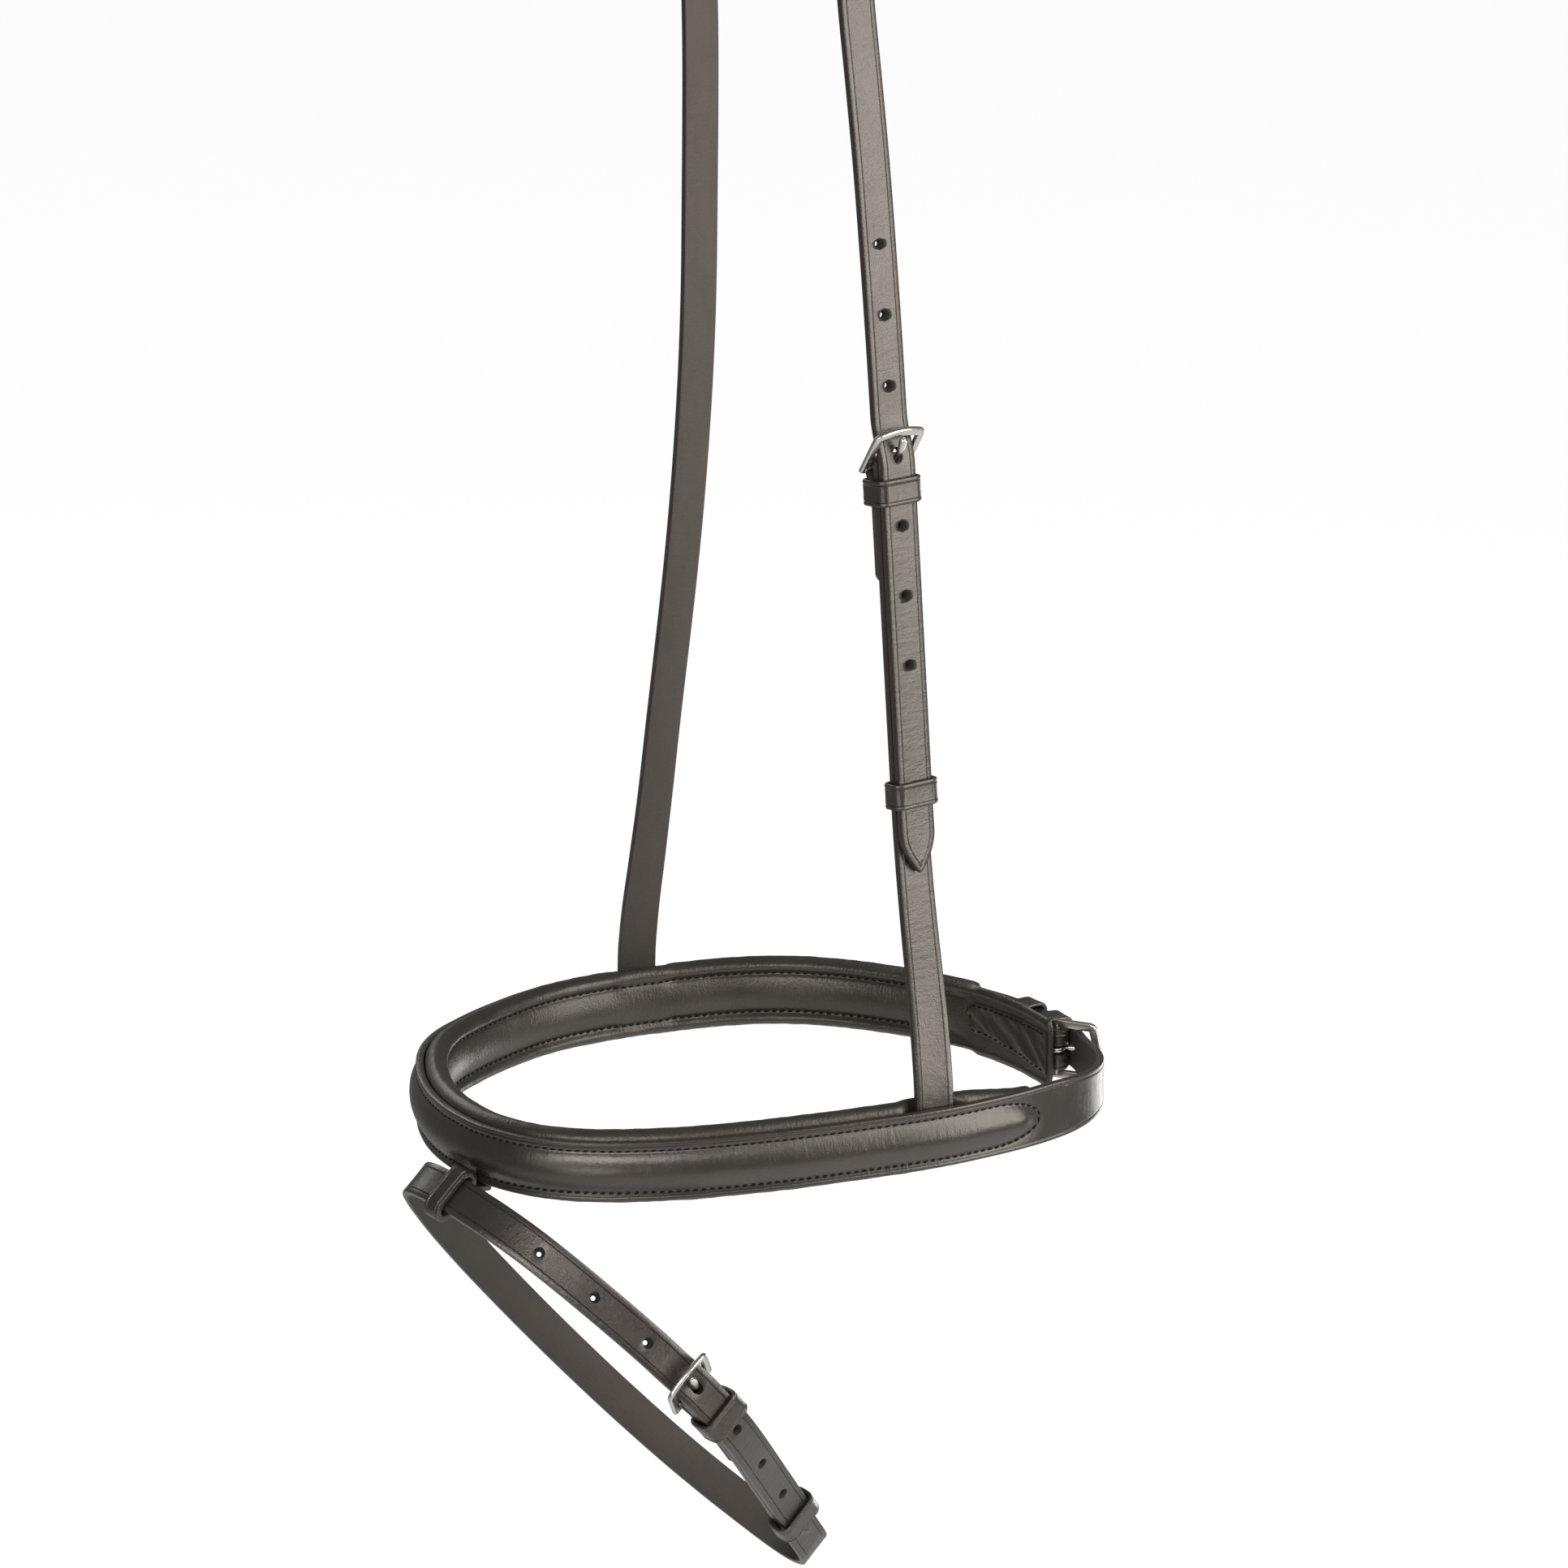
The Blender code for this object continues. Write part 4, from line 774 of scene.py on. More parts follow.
def bridle_leather():
    finish = Finish("bridle_leather")
    flat, where = finish.flat(), finish.place()
    rim = finish.number("rim")
    side = finish.part(flat, 2)
    low_edge = finish.between(finish.part(flat, 1), -0.0090, -0.0105)
    flesh = finish.between(side, -0.45, -0.95)
    # painted light and shade: the flesh side is painted lighter high up on the piece and darker low
    # down, where less light reaches it
    painted_light_height = finish.between(finish.part(where, 2), -0.50, -0.05)

    cloudy = finish.noise(where, 38.0, detail=4.0)
    blotches = finish.noise(finish.stretched(flat, (45.0, 160.0, 1.0)), 1.0, detail=5.0)
    face = finish.mix(cloudy, colour(0.012, 0.0105, 0.0090), colour(0.034, 0.029, 0.025))
    shaded_low_back = finish.mix(blotches, colour(0.010, 0.008, 0.006), colour(0.026, 0.021, 0.015))
    lit_top_back = finish.mix(blotches, colour(0.036, 0.030, 0.026), colour(0.070, 0.056, 0.048))
    back = finish.mix(painted_light_height, shaded_low_back, lit_top_back)
    edge = finish.mix(cloudy, colour(0.012, 0.009, 0.008), colour(0.040, 0.026, 0.021))
    edge = finish.mix(low_edge, edge, colour(0.150, 0.050, 0.046))
    base = finish.mix(flesh, face, back)
    dyed_and_painted_light = finish.mix(finish.between(rim, 0.35, 1.0), base, edge)
    # painted shade: the walls of punched holes are painted near black, for the shade inside them
    hole = finish.between(rim, 1.0, 1.6)
    finish.feed("Base Color", finish.mix(hole, dyed_and_painted_light, colour(0.003, 0.003, 0.003)))

    worn = finish.noise(where, 95.0, detail=3.0)
    finish.feed("Roughness", 0.20 + 0.14 * worn + flesh * 0.42 + hole * 0.6)

    grain = finish.cells(where, 2300.0)
    fibre = finish.noise(finish.stretched(flat, (260.0, 1100.0, 1.0)), 1.0, detail=5.0)
    crinkle = finish.noise(finish.stretched(flat, (430.0, 120.0, 1.0)), 1.0, detail=6.0,
                           roughness=0.7)
    relief = grain * 0.12 + crinkle * 0.65 + cloudy * 0.45 + fibre * flesh * 0.40
    finish.bump(relief, 0.00032)
    finish.feed("Specular IOR Level", 1.0)
    finish.feed("Specular Tint", WARM)
    return finish.material


LEATHER = bridle_leather()
print("leather:", len(LEATHER.node_tree.nodes), "nodes")


# %% Soft lining leather, foam and thread
def lining_leather():
    finish = Finish("lining_leather")
    where = finish.place()
    cloudy = finish.noise(where, 60.0, detail=4.0)
    finish.feed("Base Color", finish.mix(cloudy, colour(0.013, 0.011, 0.008),
                                         colour(0.036, 0.030, 0.022)))
    finish.feed("Roughness", 0.33 + 0.14 * cloudy)
    pebbles = finish.cells(where, 1300.0)
    fine = finish.noise(where, 900.0, detail=3.0)
    pleats = finish.noise(finish.stretched(finish.flat(), (780.0, 130.0, 1.0)), 1.0)
    finish.bump(pebbles * 0.30 + fine * 0.20 + cloudy * 0.35 + pleats * 0.40, 0.00030)
    finish.feed("Specular IOR Level", 0.85)
    finish.feed("Specular Tint", WARM)
    return finish.material


def grey_foam():
    finish = Finish("foam")
    where = finish.place()
    pores = finish.noise(where, 1400.0, detail=2.0)
    finish.feed("Base Color", finish.mix(pores, colour(0.24, 0.23, 0.22),
                                         colour(0.36, 0.35, 0.33)))
    finish.feed("Roughness", 0.95)
    finish.bump(pores, 0.0003)
    return finish.material


def waxed_thread():
    finish = Finish("thread")
    where = finish.place()
    twist = finish.noise(where, 1600.0, detail=2.0)
    finish.feed("Base Color", finish.mix(twist, colour(0.004, 0.0036, 0.0032),
                                         colour(0.012, 0.010, 0.009)))
    finish.feed("Roughness", 0.65)
    finish.feed("Specular IOR Level", 0.15)
    finish.bump(twist, 0.00012)
    return finish.material


LINING = lining_leather()
FOAM = grey_foam()
THREAD = waxed_thread()


# %% Nickel
def polished_nickel():
    finish = Finish("nickel")
    where = finish.place()
    haze = finish.noise(where, 60.0, detail=3.0)
    finish.feed("Base Color", finish.mix(haze, colour(0.60, 0.56, 0.50),
                                         colour(0.72, 0.68, 0.62)))
    finish.feed("Roughness", 0.22 + 0.08 * haze)
    finish.feed("Metallic", 1.0)
    return finish.material


NICKEL = polished_nickel()
print("materials:", [material.name for material in (LEATHER, LINING, FOAM, THREAD, NICKEL)])

# %% [markdown]
# ## Straps
#
# Each strap starts as a flat grid. Its rows follow its edges, so the rounded edge and the
# creased line inside it run on round the pointed end. Then the holes are punched, with
# pressed rims, and the whole pattern is bent along its route.

# %% The section of a strap
EDGE_ROUND = 0.0007
CREASE_DEPTH = 0.00032
CREASE_HALF = 0.00030
CREASE_IN = 0.0023
COLUMN = 0.0015
CROWNING = 0.00012                 # the face sinks by this towards the creased line
CROWNING_REACH = 0.003
BAND_CREASE = 0.0017               # the creased line's distance from the edge, like CREASE_IN
LOOP_CREASE = 0.0016
NARROW_CREASE = 0.0013             # on the narrow pieces at the flash loop
UNDER_ROWS = (0.0, 0.3 * EDGE_ROUND, EDGE_ROUND)


class Pattern:
    """A strap's flat shape: its half width along u, and its relief across."""

    def __init__(self, length, thickness, half, crease=CREASE_IN, inner=None):
        self.length = length
        self.thickness = thickness
        self.half = half
        self.crease = crease
        self.inner = inner or (lambda u: [])
        self.top = UNDER_ROWS + (crease - CREASE_HALF, crease, crease + CREASE_HALF)

    def slant(self, u):
        """How much longer a distance from the edge is when it is measured straight across."""
        rise = self.half(min(u + PROBE, self.length)) - self.half(max(u - PROBE, 0))
        slope = rise / (2 * PROBE)
        return math.sqrt(1 + slope * slope)

    def relief(self, edge, top):
        """Height of the surface above the middle, at a distance from the edge."""
        height = self.thickness / 2
        edge = max(edge, 0.0)
        if edge < EDGE_ROUND:
            height -= EDGE_ROUND * (1 - math.sqrt(1 - (1 - edge / EDGE_ROUND) ** 2))
        if top:
            height -= CREASE_DEPTH * math.exp(-((edge - self.crease) / (0.7 * CREASE_HALF)) ** 2)
            height += CROWNING * (1 - smoothstep((edge - self.crease) / CROWNING_REACH))
            height -= CROWNING
        return height

    def column(self, u):
        """The section's points (v, d, rim) once round, from the middle of the top."""
        half, slant = self.half(u), self.slant(u)
        right = []
        for edge in self.top:
            edge = min(edge, half / slant)
            right.append((half - edge * slant, self.relief(edge, True), self.rim(edge)))
        limit = right[-1][0]
        for v in self.inner(u):
            v = min(v, limit)
            right.append((v, self.relief(min(half - v, half / slant), True), 0.0))
        under = []
        for edge in UNDER_ROWS:
            edge = min(edge, half / slant)
            under.append((half - edge * slant, -self.relief(edge, False), self.rim(edge)))
        middle = (0.0, self.relief(half / slant, True), 0.0)
        below = (0.0, -self.relief(half / slant, False), 0.0)
        side = right[::-1] + under
        return [middle] + side + [below] + [(-v, d, rim) for v, d, rim in side[::-1]]

    def rim(self, edge):
        return 1.0 - min(edge / EDGE_ROUND, 1.0)


# %% The pointed and square ends
CORNER_START = 0.5                 # a square end starts with this share of its width
ARCH = 0.8                         # how full the pointed end is


def pointed(length, half):
    """Half width of a strap that is square at u = 0 and pointed like a gothic arch."""
    def at(u):
        width = half(u) if callable(half) else half
        width = min(width, width * CORNER_START + u)
        share = (u - (length - TIP_LENGTH)) / TIP_LENGTH
        if share > 0:
            width *= max(math.cos(min(share, 1.0) * math.pi / 2), 0.0) ** ARCH
        return width
    return at


def squared(length, half):
    """Half width of a strap whose two ends are hidden: rounded only at its corners."""
    return lambda u: min(half, half * CORNER_START + min(u, length - u))


# %% Punching the holes
HOLE_BOTTOM = 0.42                 # leather closes up below: how much of a hole stays open
PRESSED_RIM = 0.00030
RIM_ANGLE = 1.0                    # a wall meets the top at more than this angle
RIM_HEIGHT = 0.0004
RIM_REACH = 0.0036                 # holes end within this of a strap's middle line
WALL = 0.985                       # a hole's wall and its rim, as shares of its radius
RIM = 1.02


def punched(bm, holes, height):
    """The leather with its holes punched, each a u with a half length and a half width."""
    cutter = bmesh.new()
    for u, half_length, half_width in holes:
        closing = (1 - HOLE_BOTTOM) / 2 if half_length == half_width else 0.0
        ring_verts = bmesh.ops.create_cone(cutter, cap_ends=True, segments=28,
                                           radius1=1.0 - 3 * closing, radius2=1.0 + closing,
                                           depth=height)["verts"]
        bmesh.ops.scale(cutter, vec=(half_length, half_width, 1), verts=ring_verts)
        bmesh.ops.translate(cutter, vec=(u, 0, 0), verts=ring_verts)
    objects = []
    for part in (bm, cutter):
        mesh = bpy.data.meshes.new("blank")
        part.to_mesh(mesh)
        part.free()
        objects.append(in_scene("blank", mesh))
    body, tool = objects
    modifier = body.modifiers.new("punch", "BOOLEAN")
    modifier.operation = "DIFFERENCE"
    modifier.object = tool
    graph = bpy.context.evaluated_depsgraph_get()
    mesh = bpy.data.meshes.new_from_object(body.evaluated_get(graph))
    result = bmesh.new()
    result.from_mesh(mesh)
    for obj in objects:
        bpy.data.objects.remove(obj)
    bpy.data.meshes.remove(mesh)
    rims = [edge for edge in result.edges if hole_rim(edge)]
    bmesh.ops.bevel(result, geom=rims, offset=PRESSED_RIM, offset_type="OFFSET", segments=3,
                    profile=0.5, affect="EDGES", clamp_overlap=True, material=-1)
    return result


def hole_rim(edge):
    """True where a hole's wall meets the top of the leather."""
    if len(edge.link_faces) != 2 or edge.calc_face_angle(0.0) < RIM_ANGLE:
        return False
    low = min(vert.co.z for vert in edge.verts)
    return low > RIM_HEIGHT and max(abs(vert.co.y) for vert in edge.verts) < RIM_REACH


# %% A strap
TIP_STEPS = 12
TIP_BUNCHING = 1.6                 # more columns towards the very tip
TIP_CLEAR = 0.0004


def strap(name, body, replaced, route, pattern, holes=(), skive=None, lift=None):
    columns = math.ceil(pattern.length / COLUMN)
    fine = [pattern.length - TIP_LENGTH * (1 - i / TIP_STEPS) ** TIP_BUNCHING
            for i in range(TIP_STEPS + 1)]
    stops = [u for u in np.linspace(0, pattern.length, columns + 1)
             if u < pattern.length - TIP_LENGTH - TIP_CLEAR]
    stops = [float(u) for u in stops] + fine
    sections = [pattern.column(u) for u in stops]
    rows = len(sections[0])

    def place(i, j):
        v, d, _ = sections[i][j]
        return Vector((stops[i], v, d))

    bm = wrapped(len(stops) - 1, rows, place)
    if holes:
        bm = punched(bm, holes, pattern.thickness * 2)
    flats, rims = [], []
    for vert in bm.verts:
        u, v, d = vert.co
        edge = (pattern.half(u) - abs(v)) / pattern.slant(u)
        flats.append((u, v, 2 * d / pattern.thickness))
        inside = min((math.hypot((u - middle) / half_length, v / half_width)
                      for middle, half_length, half_width in holes), default=math.inf)
        # a hole's wall gets 2: the leather paints it near black as painted shade
        cut = 2.0 if inside < WALL else 1.0 if inside < RIM else 0.0
        rims.append(max(1 - min(max(edge, 0) / EDGE_ROUND, 1), cut))
        if skive:
            d *= skive(u)
        if lift:
            d += lift(u, v)
        vert.co = route.bend(u, v, d)
    obj = piece_from(bm, name, LEATHER, body, replaced)
    set_flat(obj.data, flats, rims)
    return obj


def set_flat(mesh, flats, rims):
    """Keeps each vertex's place on the flat leather, and how near it is to a cut edge. A hole's
    wall gets 2, which the leather paints near black as painted shade.
    """
    attribute = mesh.attributes.new("flat", "FLOAT_VECTOR", "POINT")
    attribute.data.foreach_set("vector", np.array(flats, dtype=np.float32).ravel())
    set_values(mesh, "rim", rims)


def slot_hole(rules):
    half = rules.fold_length / 2
    return (TAIL_LENGTH - SETTLE + rules.tail_run + half, half + SLOT_REACH, SLOT_WIDTH / 2)


def strap_holes(first_u, above, below):
    radius = HOLE_DIAMETER / 2
    return [(first_u + i * HOLE_PITCH, radius * (1.0 if i else HOLE_STRETCH), radius)
            for i in range(-above, below + 1)]


# %% The head strap and the cheek strap
cheek_bar = head.length - CHEEK_LENGTH
cheek_rules = Buckle(head, cheek_bar, HEAD_THICKNESS, 0.0)
cheek_route = Route(head, cheek_rules.fold() + [(head.length, 0.0)])
cheek_pattern = Pattern(cheek_route.length, HEAD_THICKNESS,
                        squared(cheek_route.length, HEAD_WIDTH / 2))
strap("cheek_strap_leather", "noseband", ["cheek_strap"], cheek_route, cheek_pattern,
      [slot_hole(cheek_rules)], skive=cheek_rules.skive)

head_beyond = HEAD_HOLES_BELOW * HOLE_PITCH + HEAD_TIP_BEYOND
head_route, head_used = cheek_rules.buckled_route([(0.0, 0.0), (head.length / 2, 0.0)],
                                                  cheek_bar, 0.0, head_beyond)
head_pattern = Pattern(head_route.length, HEAD_THICKNESS,
                       pointed(head_route.length, HEAD_WIDTH / 2))
head_strap = strap("head_strap_leather", "noseband", ["head_strap"], head_route, head_pattern,
                   strap_holes(head_used, HEAD_HOLES_ABOVE, HEAD_HOLES_BELOW))
print("head strap:", round(head_route.length, 4), "m,", len(head_strap.data.polygons), "faces")

# %% [markdown]
# ## The noseband
#
# The band is raised over a filler between its two cheeks. A channel runs round the foot of
# the raised part, ending in a point at each end, and the stitches lie in that channel.


# %% The raised middle
RAISED_ENDS = (FAR_RAISE_START, NEAR_PAD_END - RAISE_SHORT_OF_PAD)
CHANNEL_OUT = 0.00055
CHANNEL_DEPTH = 0.00026
CHANNEL_HALF = 0.00055
FILLER_SHARE = 0.85                # of the raised width
FILLER_IN = 0.6                    # of the raised point that the filler leaves empty
SPREAD_OUT = 0.014                 # beyond the raised part its rows spread out again
LEAST_HALF = 0.0016
EDGE_ROOM = 0.0026                 # kept clear for the rows along the band's edge


def raised_half(s):
    share = min(max(min(s - RAISED_ENDS[0], RAISED_ENDS[1] - s), 0.0) / RAISED_POINT, 1.0)
    return RAISED_WIDTH / 2 * math.sqrt(share * (2 - share))


def raised(s, v):
    half = raised_half(s)
    if half == 0.0:
        return 0.0
    rise = smoothstep(2 * min(s - RAISED_ENDS[0], RAISED_ENDS[1] - s) / RAISED_POINT)
    return RAISE * rise * max(0.0, 1 - (v / half) ** 2)


def foot_distance(s, v):
    """How far a point is outside the foot of the raised part, ends included."""
    beyond = RAISED_POINT - min(s - RAISED_ENDS[0], RAISED_ENDS[1] - s)
    half = RAISED_WIDTH / 2
    if beyond <= 0:
        return abs(v) - half
    size = math.hypot(beyond / RAISED_POINT, v / half)
    growth = math.hypot(beyond / RAISED_POINT ** 2, v / half ** 2)
    return (size - 1) * size / growth


def channel(s, v):
    """Depth of the pressed channel that the stitches lie in."""
    away = (foot_distance(s, v) - CHANNEL_OUT) / CHANNEL_HALF
    return CHANNEL_DEPTH * math.exp(-away * away)


# %% The band's outer leather
CLIMB_STEPS = 8

chin_rules = Buckle(ring, 0.0, NOSE_THICKNESS, NOSE_THICKNESS / 2)
climb_start = FAR_RAISE_START - CLIMB_LENGTH / 2
climb = [(climb_start + CLIMB_LENGTH * i / CLIMB_STEPS, RAISE * smoothstep(i / CLIMB_STEPS))
         for i in range(CLIMB_STEPS + 1)]
band_route, chin_used = chin_rules.buckled_route(
    chin_rules.fold(), ring.length, NOSE_THICKNESS / 2,
    CHIN_HOLES_BELOW * HOLE_PITCH + CHIN_TIP_BEYOND, climb)
band_offset = band_route.at(FAR_CHEEK) - FAR_CHEEK


def band_width(u):
    s = u - band_offset
    narrow, wide = CHIN_WIDTH / 2, NOSE_WIDTH / 2
    opening = smoothstep((s - FAR_TAPER_START) / FAR_TAPER)
    closing = smoothstep((s - NEAR_PAD_END) / NEAR_TAPER)
    return narrow + (wide - narrow) * (opening - closing)


def band_inner(u):
    """Rows of the raised part: they draw in towards its pointed ends."""
    s = u - band_offset
    outside = max(RAISED_ENDS[0] - s, s - RAISED_ENDS[1], 0.0)
    half = max(raised_half(s), RAISED_WIDTH / 2 * smoothstep(outside / SPREAD_OUT), LEAST_HALF)
    half *= min(1.0, (band_width(u) - EDGE_ROOM) / (RAISED_WIDTH / 2))
    foot = [half + CHANNEL_OUT + CHANNEL_HALF * x for x in (0.9, 0.0, -0.9)]
    return foot + [half * share for share in (0.95, 0.86, 0.72, 0.52, 0.27)]


def band_lift(u, v):
    s = u - band_offset
    return raised(s, v) - channel(s, v)


band_pattern = Pattern(band_route.length, NOSE_THICKNESS,
                       pointed(band_route.length, band_width), crease=BAND_CREASE, inner=band_inner)
noseband_strap = strap("noseband_leather", "noseband", ["noseband_strap"], band_route,
                       band_pattern, [slot_hole(chin_rules)]
                       + strap_holes(chin_used, 0, CHIN_HOLES_BELOW),
                       skive=chin_rules.skive, lift=band_lift)
print("noseband leather:", len(noseband_strap.data.polygons), "faces")


# %% The filler under the raised leather
FILLER_COLUMNS = 180
FILLER_ROWS = 6                    # on each half


def filler_profile(s):
    half = raised_half(s) * FILLER_SHARE
    row = [half * i / FILLER_ROWS for i in range(-FILLER_ROWS, FILLER_ROWS + 1)]
    return [(raised(s, v) - GAP, v) for v in row] + [(0.0, v) for v in row[::-1]]


filler_start = RAISED_ENDS[0] + FILLER_IN * RAISED_POINT
filler_end = RAISED_ENDS[1] - FILLER_IN * RAISED_POINT
filler_stops = np.linspace(filler_start, filler_end, FILLER_COLUMNS)
filler_sections = [filler_profile(s) for s in filler_stops]


def filler_place(i, j):
    w, v = filler_sections[i][j]
    return ring.place(filler_stops[i], w, v)


filler_bm = wrapped(len(filler_stops) - 1, len(filler_sections[0]), filler_place)
filler = piece_from(filler_bm, "raised_filler_foam", FOAM, "noseband",
                    ["raised_filler"])


# %% [markdown]
# ## The padded lining
#
# The lining is a soft roll that stands out above and below the band, and gets lower towards
# its near end. It is squeezed where a strap's end or the chin keeper lies behind the band.
# Soft leather over foam wrinkles, most at its turned edges, so the skin is moved in and out.

# %% The lining's outline
PAD_SHAPE = ((0.00, LINING_LIP), (0.02, 0.40 * LINING_HEIGHT), (0.40, 0.50 * LINING_HEIGHT),
             (0.86, 0.45 * LINING_HEIGHT), (0.97, 0.365 * LINING_HEIGHT),
             (0.75, 0.285 * LINING_HEIGHT), (0.89, 0.22 * LINING_HEIGHT),
             (1.04, 0.07 * LINING_HEIGHT))
GROOVE = 0.285 * LINING_HEIGHT
PRESSED_HEIGHT = 0.40 * LINING_HEIGHT   # the turned-back patch presses the lining up to here
SEEN_HEIGHT = 0.38 * LINING_HEIGHT
FLAT_SHARE = 0.86
FLAT_END = 0.0460
FLAT_FADE = 0.0200
PAD_OUTLINE = PAD_SHAPE + tuple((a, -h) for a, h in reversed(PAD_SHAPE))
PAD_ROUND = 0.0025                 # length of the rounded ends
PAD_END_SIZE = 0.78                # of the full section, at the very ends
PAD_CORE = 0.42                    # of the thickness: the section shrinks towards this depth
LINING_TAPER = 0.0340              # towards the near end the lining gets lower
LINING_NARROW = 0.28               # by this share


def pad_dents():
    """Where the lining makes room: (from s, to s, from height, to height, depth)."""
    keeper = -chin_rules.tail_level + chin_rules.tail_thickness / 2 + KEEPER_THICKNESS + GAP
    keeper += chin_rules.spread(KEEPER_FROM_BAR - KEEPER_WIDTH / 2) + SEWN_EASE
    strap_depth = GAP + SEWN_EASE + HEAD_THICKNESS + SEWN_EASE
    half = HEAD_WIDTH / 2 + SEWN_EASE
    half_tab = LOOP_WIDTH / 2 + SEWN_EASE
    runner_end = CHIN_RUNNER_FROM_BAR + KEEPER_WIDTH / 2 + RUNNER_TRAVEL
    sewn, tab_top = -SEWN_DEPTH - SEWN_EASE, TAB_DEPTH - NOSE_WIDTH / 2 + SEWN_EASE
    top = LINING_HEIGHT
    return ((FAR_PAD_START, max(runner_end, TAIL_LENGTH), -top, top, keeper),
            (FAR_CHEEK - half, FAR_CHEEK + half, sewn, top, strap_depth),
            (NOSE_FRONT - half_tab, NOSE_FRONT + half_tab, -top, tab_top,
             GAP + TAB_THICKNESS + SEWN_EASE),
            (NEAR_CHEEK - half, NEAR_CHEEK + half, sewn, top, strap_depth))


def curve_through(points, steps):
    """A smooth closed line through the points, with even steps between each two."""
    count = len(points)
    line = []
    for i in range(count):
        a, b, c, d = (Vector(points[(i + k) % count]) for k in (-1, 0, 1, 2))
        line += [spline(a, b, c, d, k / steps) for k in range(steps)]
    return line


# %% The lining's skin
PAD_COLUMNS = 430
PAD_END_COLUMNS = 8
DENTS = pad_dents()
PAD_LINE = curve_through(PAD_OUTLINE, 4)


def dent_depth(s, h):
    """How far the lining's front is pushed in at s and height h."""
    deepest = 0.0
    for low, high, bottom, top, depth in DENTS:
        beside = smoothstep(max(low - s, s - high, 0.0) / DENT_SPREAD)
        beyond = smoothstep(max(bottom - h, h - top, 0.0) / DENT_SPREAD)
        deepest = max(deepest, depth * (1 - beside) * (1 - beyond))
    return deepest


def pad_section(s):
    """The lining's outline at s, rounded off at the ends, in w and height."""
    pressed = 1 - smoothstep((s - FLAT_END) / FLAT_FADE)
    pushed = DENT_SHARE * dent_depth(s, LINING_HEIGHT / 4) * (1 - pressed)
    rear = -GAP - LINING_THICKNESS - pushed
    inside = min(s - FAR_PAD_START, NEAR_PAD_END - s)
    close = 1 - min(inside / PAD_ROUND, 1.0)
    size = PAD_END_SIZE + (1 - PAD_END_SIZE) * math.sqrt(max(1 - close * close, 0.0))
    size *= 1 - LINING_NARROW * (1 - smoothstep((NEAR_PAD_END - s) / LINING_TAPER))
    points = []
    for a, h in PAD_LINE:
        front = -GAP - dent_depth(s, h)
        middle = front + (rear - front) * PAD_CORE
        if a > 0.5 and abs(h) < PRESSED_HEIGHT:
            a += (FLAT_SHARE - a) * pressed
        w = min(front + (rear - front) * a, front)
        points.append((middle + (w - middle) * size, h * size))
    return points


def pad_stops():
    """Stations along the lining, closer together at its rounded ends."""
    ends = [PAD_ROUND * (i / PAD_END_COLUMNS) ** 2 for i in range(PAD_END_COLUMNS)]
    low, high = FAR_PAD_START, NEAR_PAD_END
    middle = np.linspace(low + PAD_ROUND, high - PAD_ROUND, PAD_COLUMNS)
    return ([low + step for step in ends] + [float(s) for s in middle]
            + [high - step for step in reversed(ends)])


PAD_ROW = 0.0014
ROLL_START = 0.0070                # above this height the lining is the roll
ROLL_FADE = 0.0030
ROLL_WRINKLE = 0.00014
PEBBLE = 0.00007


def wrinkled(s, point, height, outward):
    """The same point moved in or out by the wrinkles of soft leather."""
    where = Vector((s * 95, height * 210, point.y * 40))
    fold = 1 - abs(noise.noise(where * 1.7)) * 2
    pebble = noise.noise(point * 430)
    roll = smoothstep((abs(height) - ROLL_START) / ROLL_FADE)
    return point + outward * (PEBBLE * pebble + roll * ROLL_WRINKLE * (fold - 0.5))


stops = pad_stops()
sections = [pad_section(s) for s in stops]
rows = len(sections[0])


def pad_place(i, j):
    s = stops[i]
    w, h = sections[i][j]
    before, after = sections[i][j - 1], sections[i][(j + 1) % rows]
    side = Vector((after[1] - before[1], -(after[0] - before[0]))).normalized()
    point = ring.place(s, w, h)
    outward = (ring.place(s, w - side.x * 0.001, h - side.y * 0.001) - point).normalized()
    return wrinkled(s, point, h, outward)


def sheet_flat(stops, row):
    """The place on a soft sheet's leather: along it, and round it."""
    return lambda i, j: ((stops[i], j * row, 1.0), 0.0)


lining_bm = wrapped(len(stops) - 1, rows, pad_place, flat=sheet_flat(stops, PAD_ROW))
lining = piece_from(lining_bm, "padded_lining", LINING, "noseband",
                    ["lining_cover", "lining_foam"], sharp=60)
print("lining:", len(lining.data.polygons), "faces")


# %% The turned-back end at the chin
PATCH_END = 0.0495
PATCH_START = FAR_PAD_START + 0.0012
PATCH_ROUND = 0.0060
PATCH_NARROW = 0.0056
PATCH_LIFT = 0.0016
PATCH_WIDE = 0.0084
PATCH_RISE = 0.0009
PATCH_SEAM_IN = 0.0011
PATCH_FADE = 0.0022                # its folds die out within this of its edge
PATCH_FOLD = 0.0013
PATCH_LEAST = 0.00022              # it stays this far above the lining
PATCH_SUNK = 0.0006                # its back lies this deep in the lining
PATCH_ROW = 0.0005
PATCH_COLUMNS = 110
PATCH_ROWS = 30
NOISE_SEED = 1795710118            # the patch's folds follow from this seed
noise.seed_set(NOISE_SEED)         # without it noise_vector follows the clock


def patch_share(s):
    return (s - PATCH_START) / (PATCH_END - PATCH_START)


def patch_half(s):
    """Half height of the patch: it narrows away from the chin to a round end."""
    half = PATCH_WIDE + (PATCH_NARROW - PATCH_WIDE) * patch_share(s)
    beyond = max(s - (PATCH_END - PATCH_ROUND), 0.0) / PATCH_ROUND
    return half * math.sqrt(max(1 - beyond ** 2, 0.0004))


def on_patch(s, h, rise):
    """A point above the lining's inner face, h from the middle of the patch."""
    height = h + PATCH_LIFT * patch_share(s)
    return ring.place(s, inner_level(s, height) - rise, height)


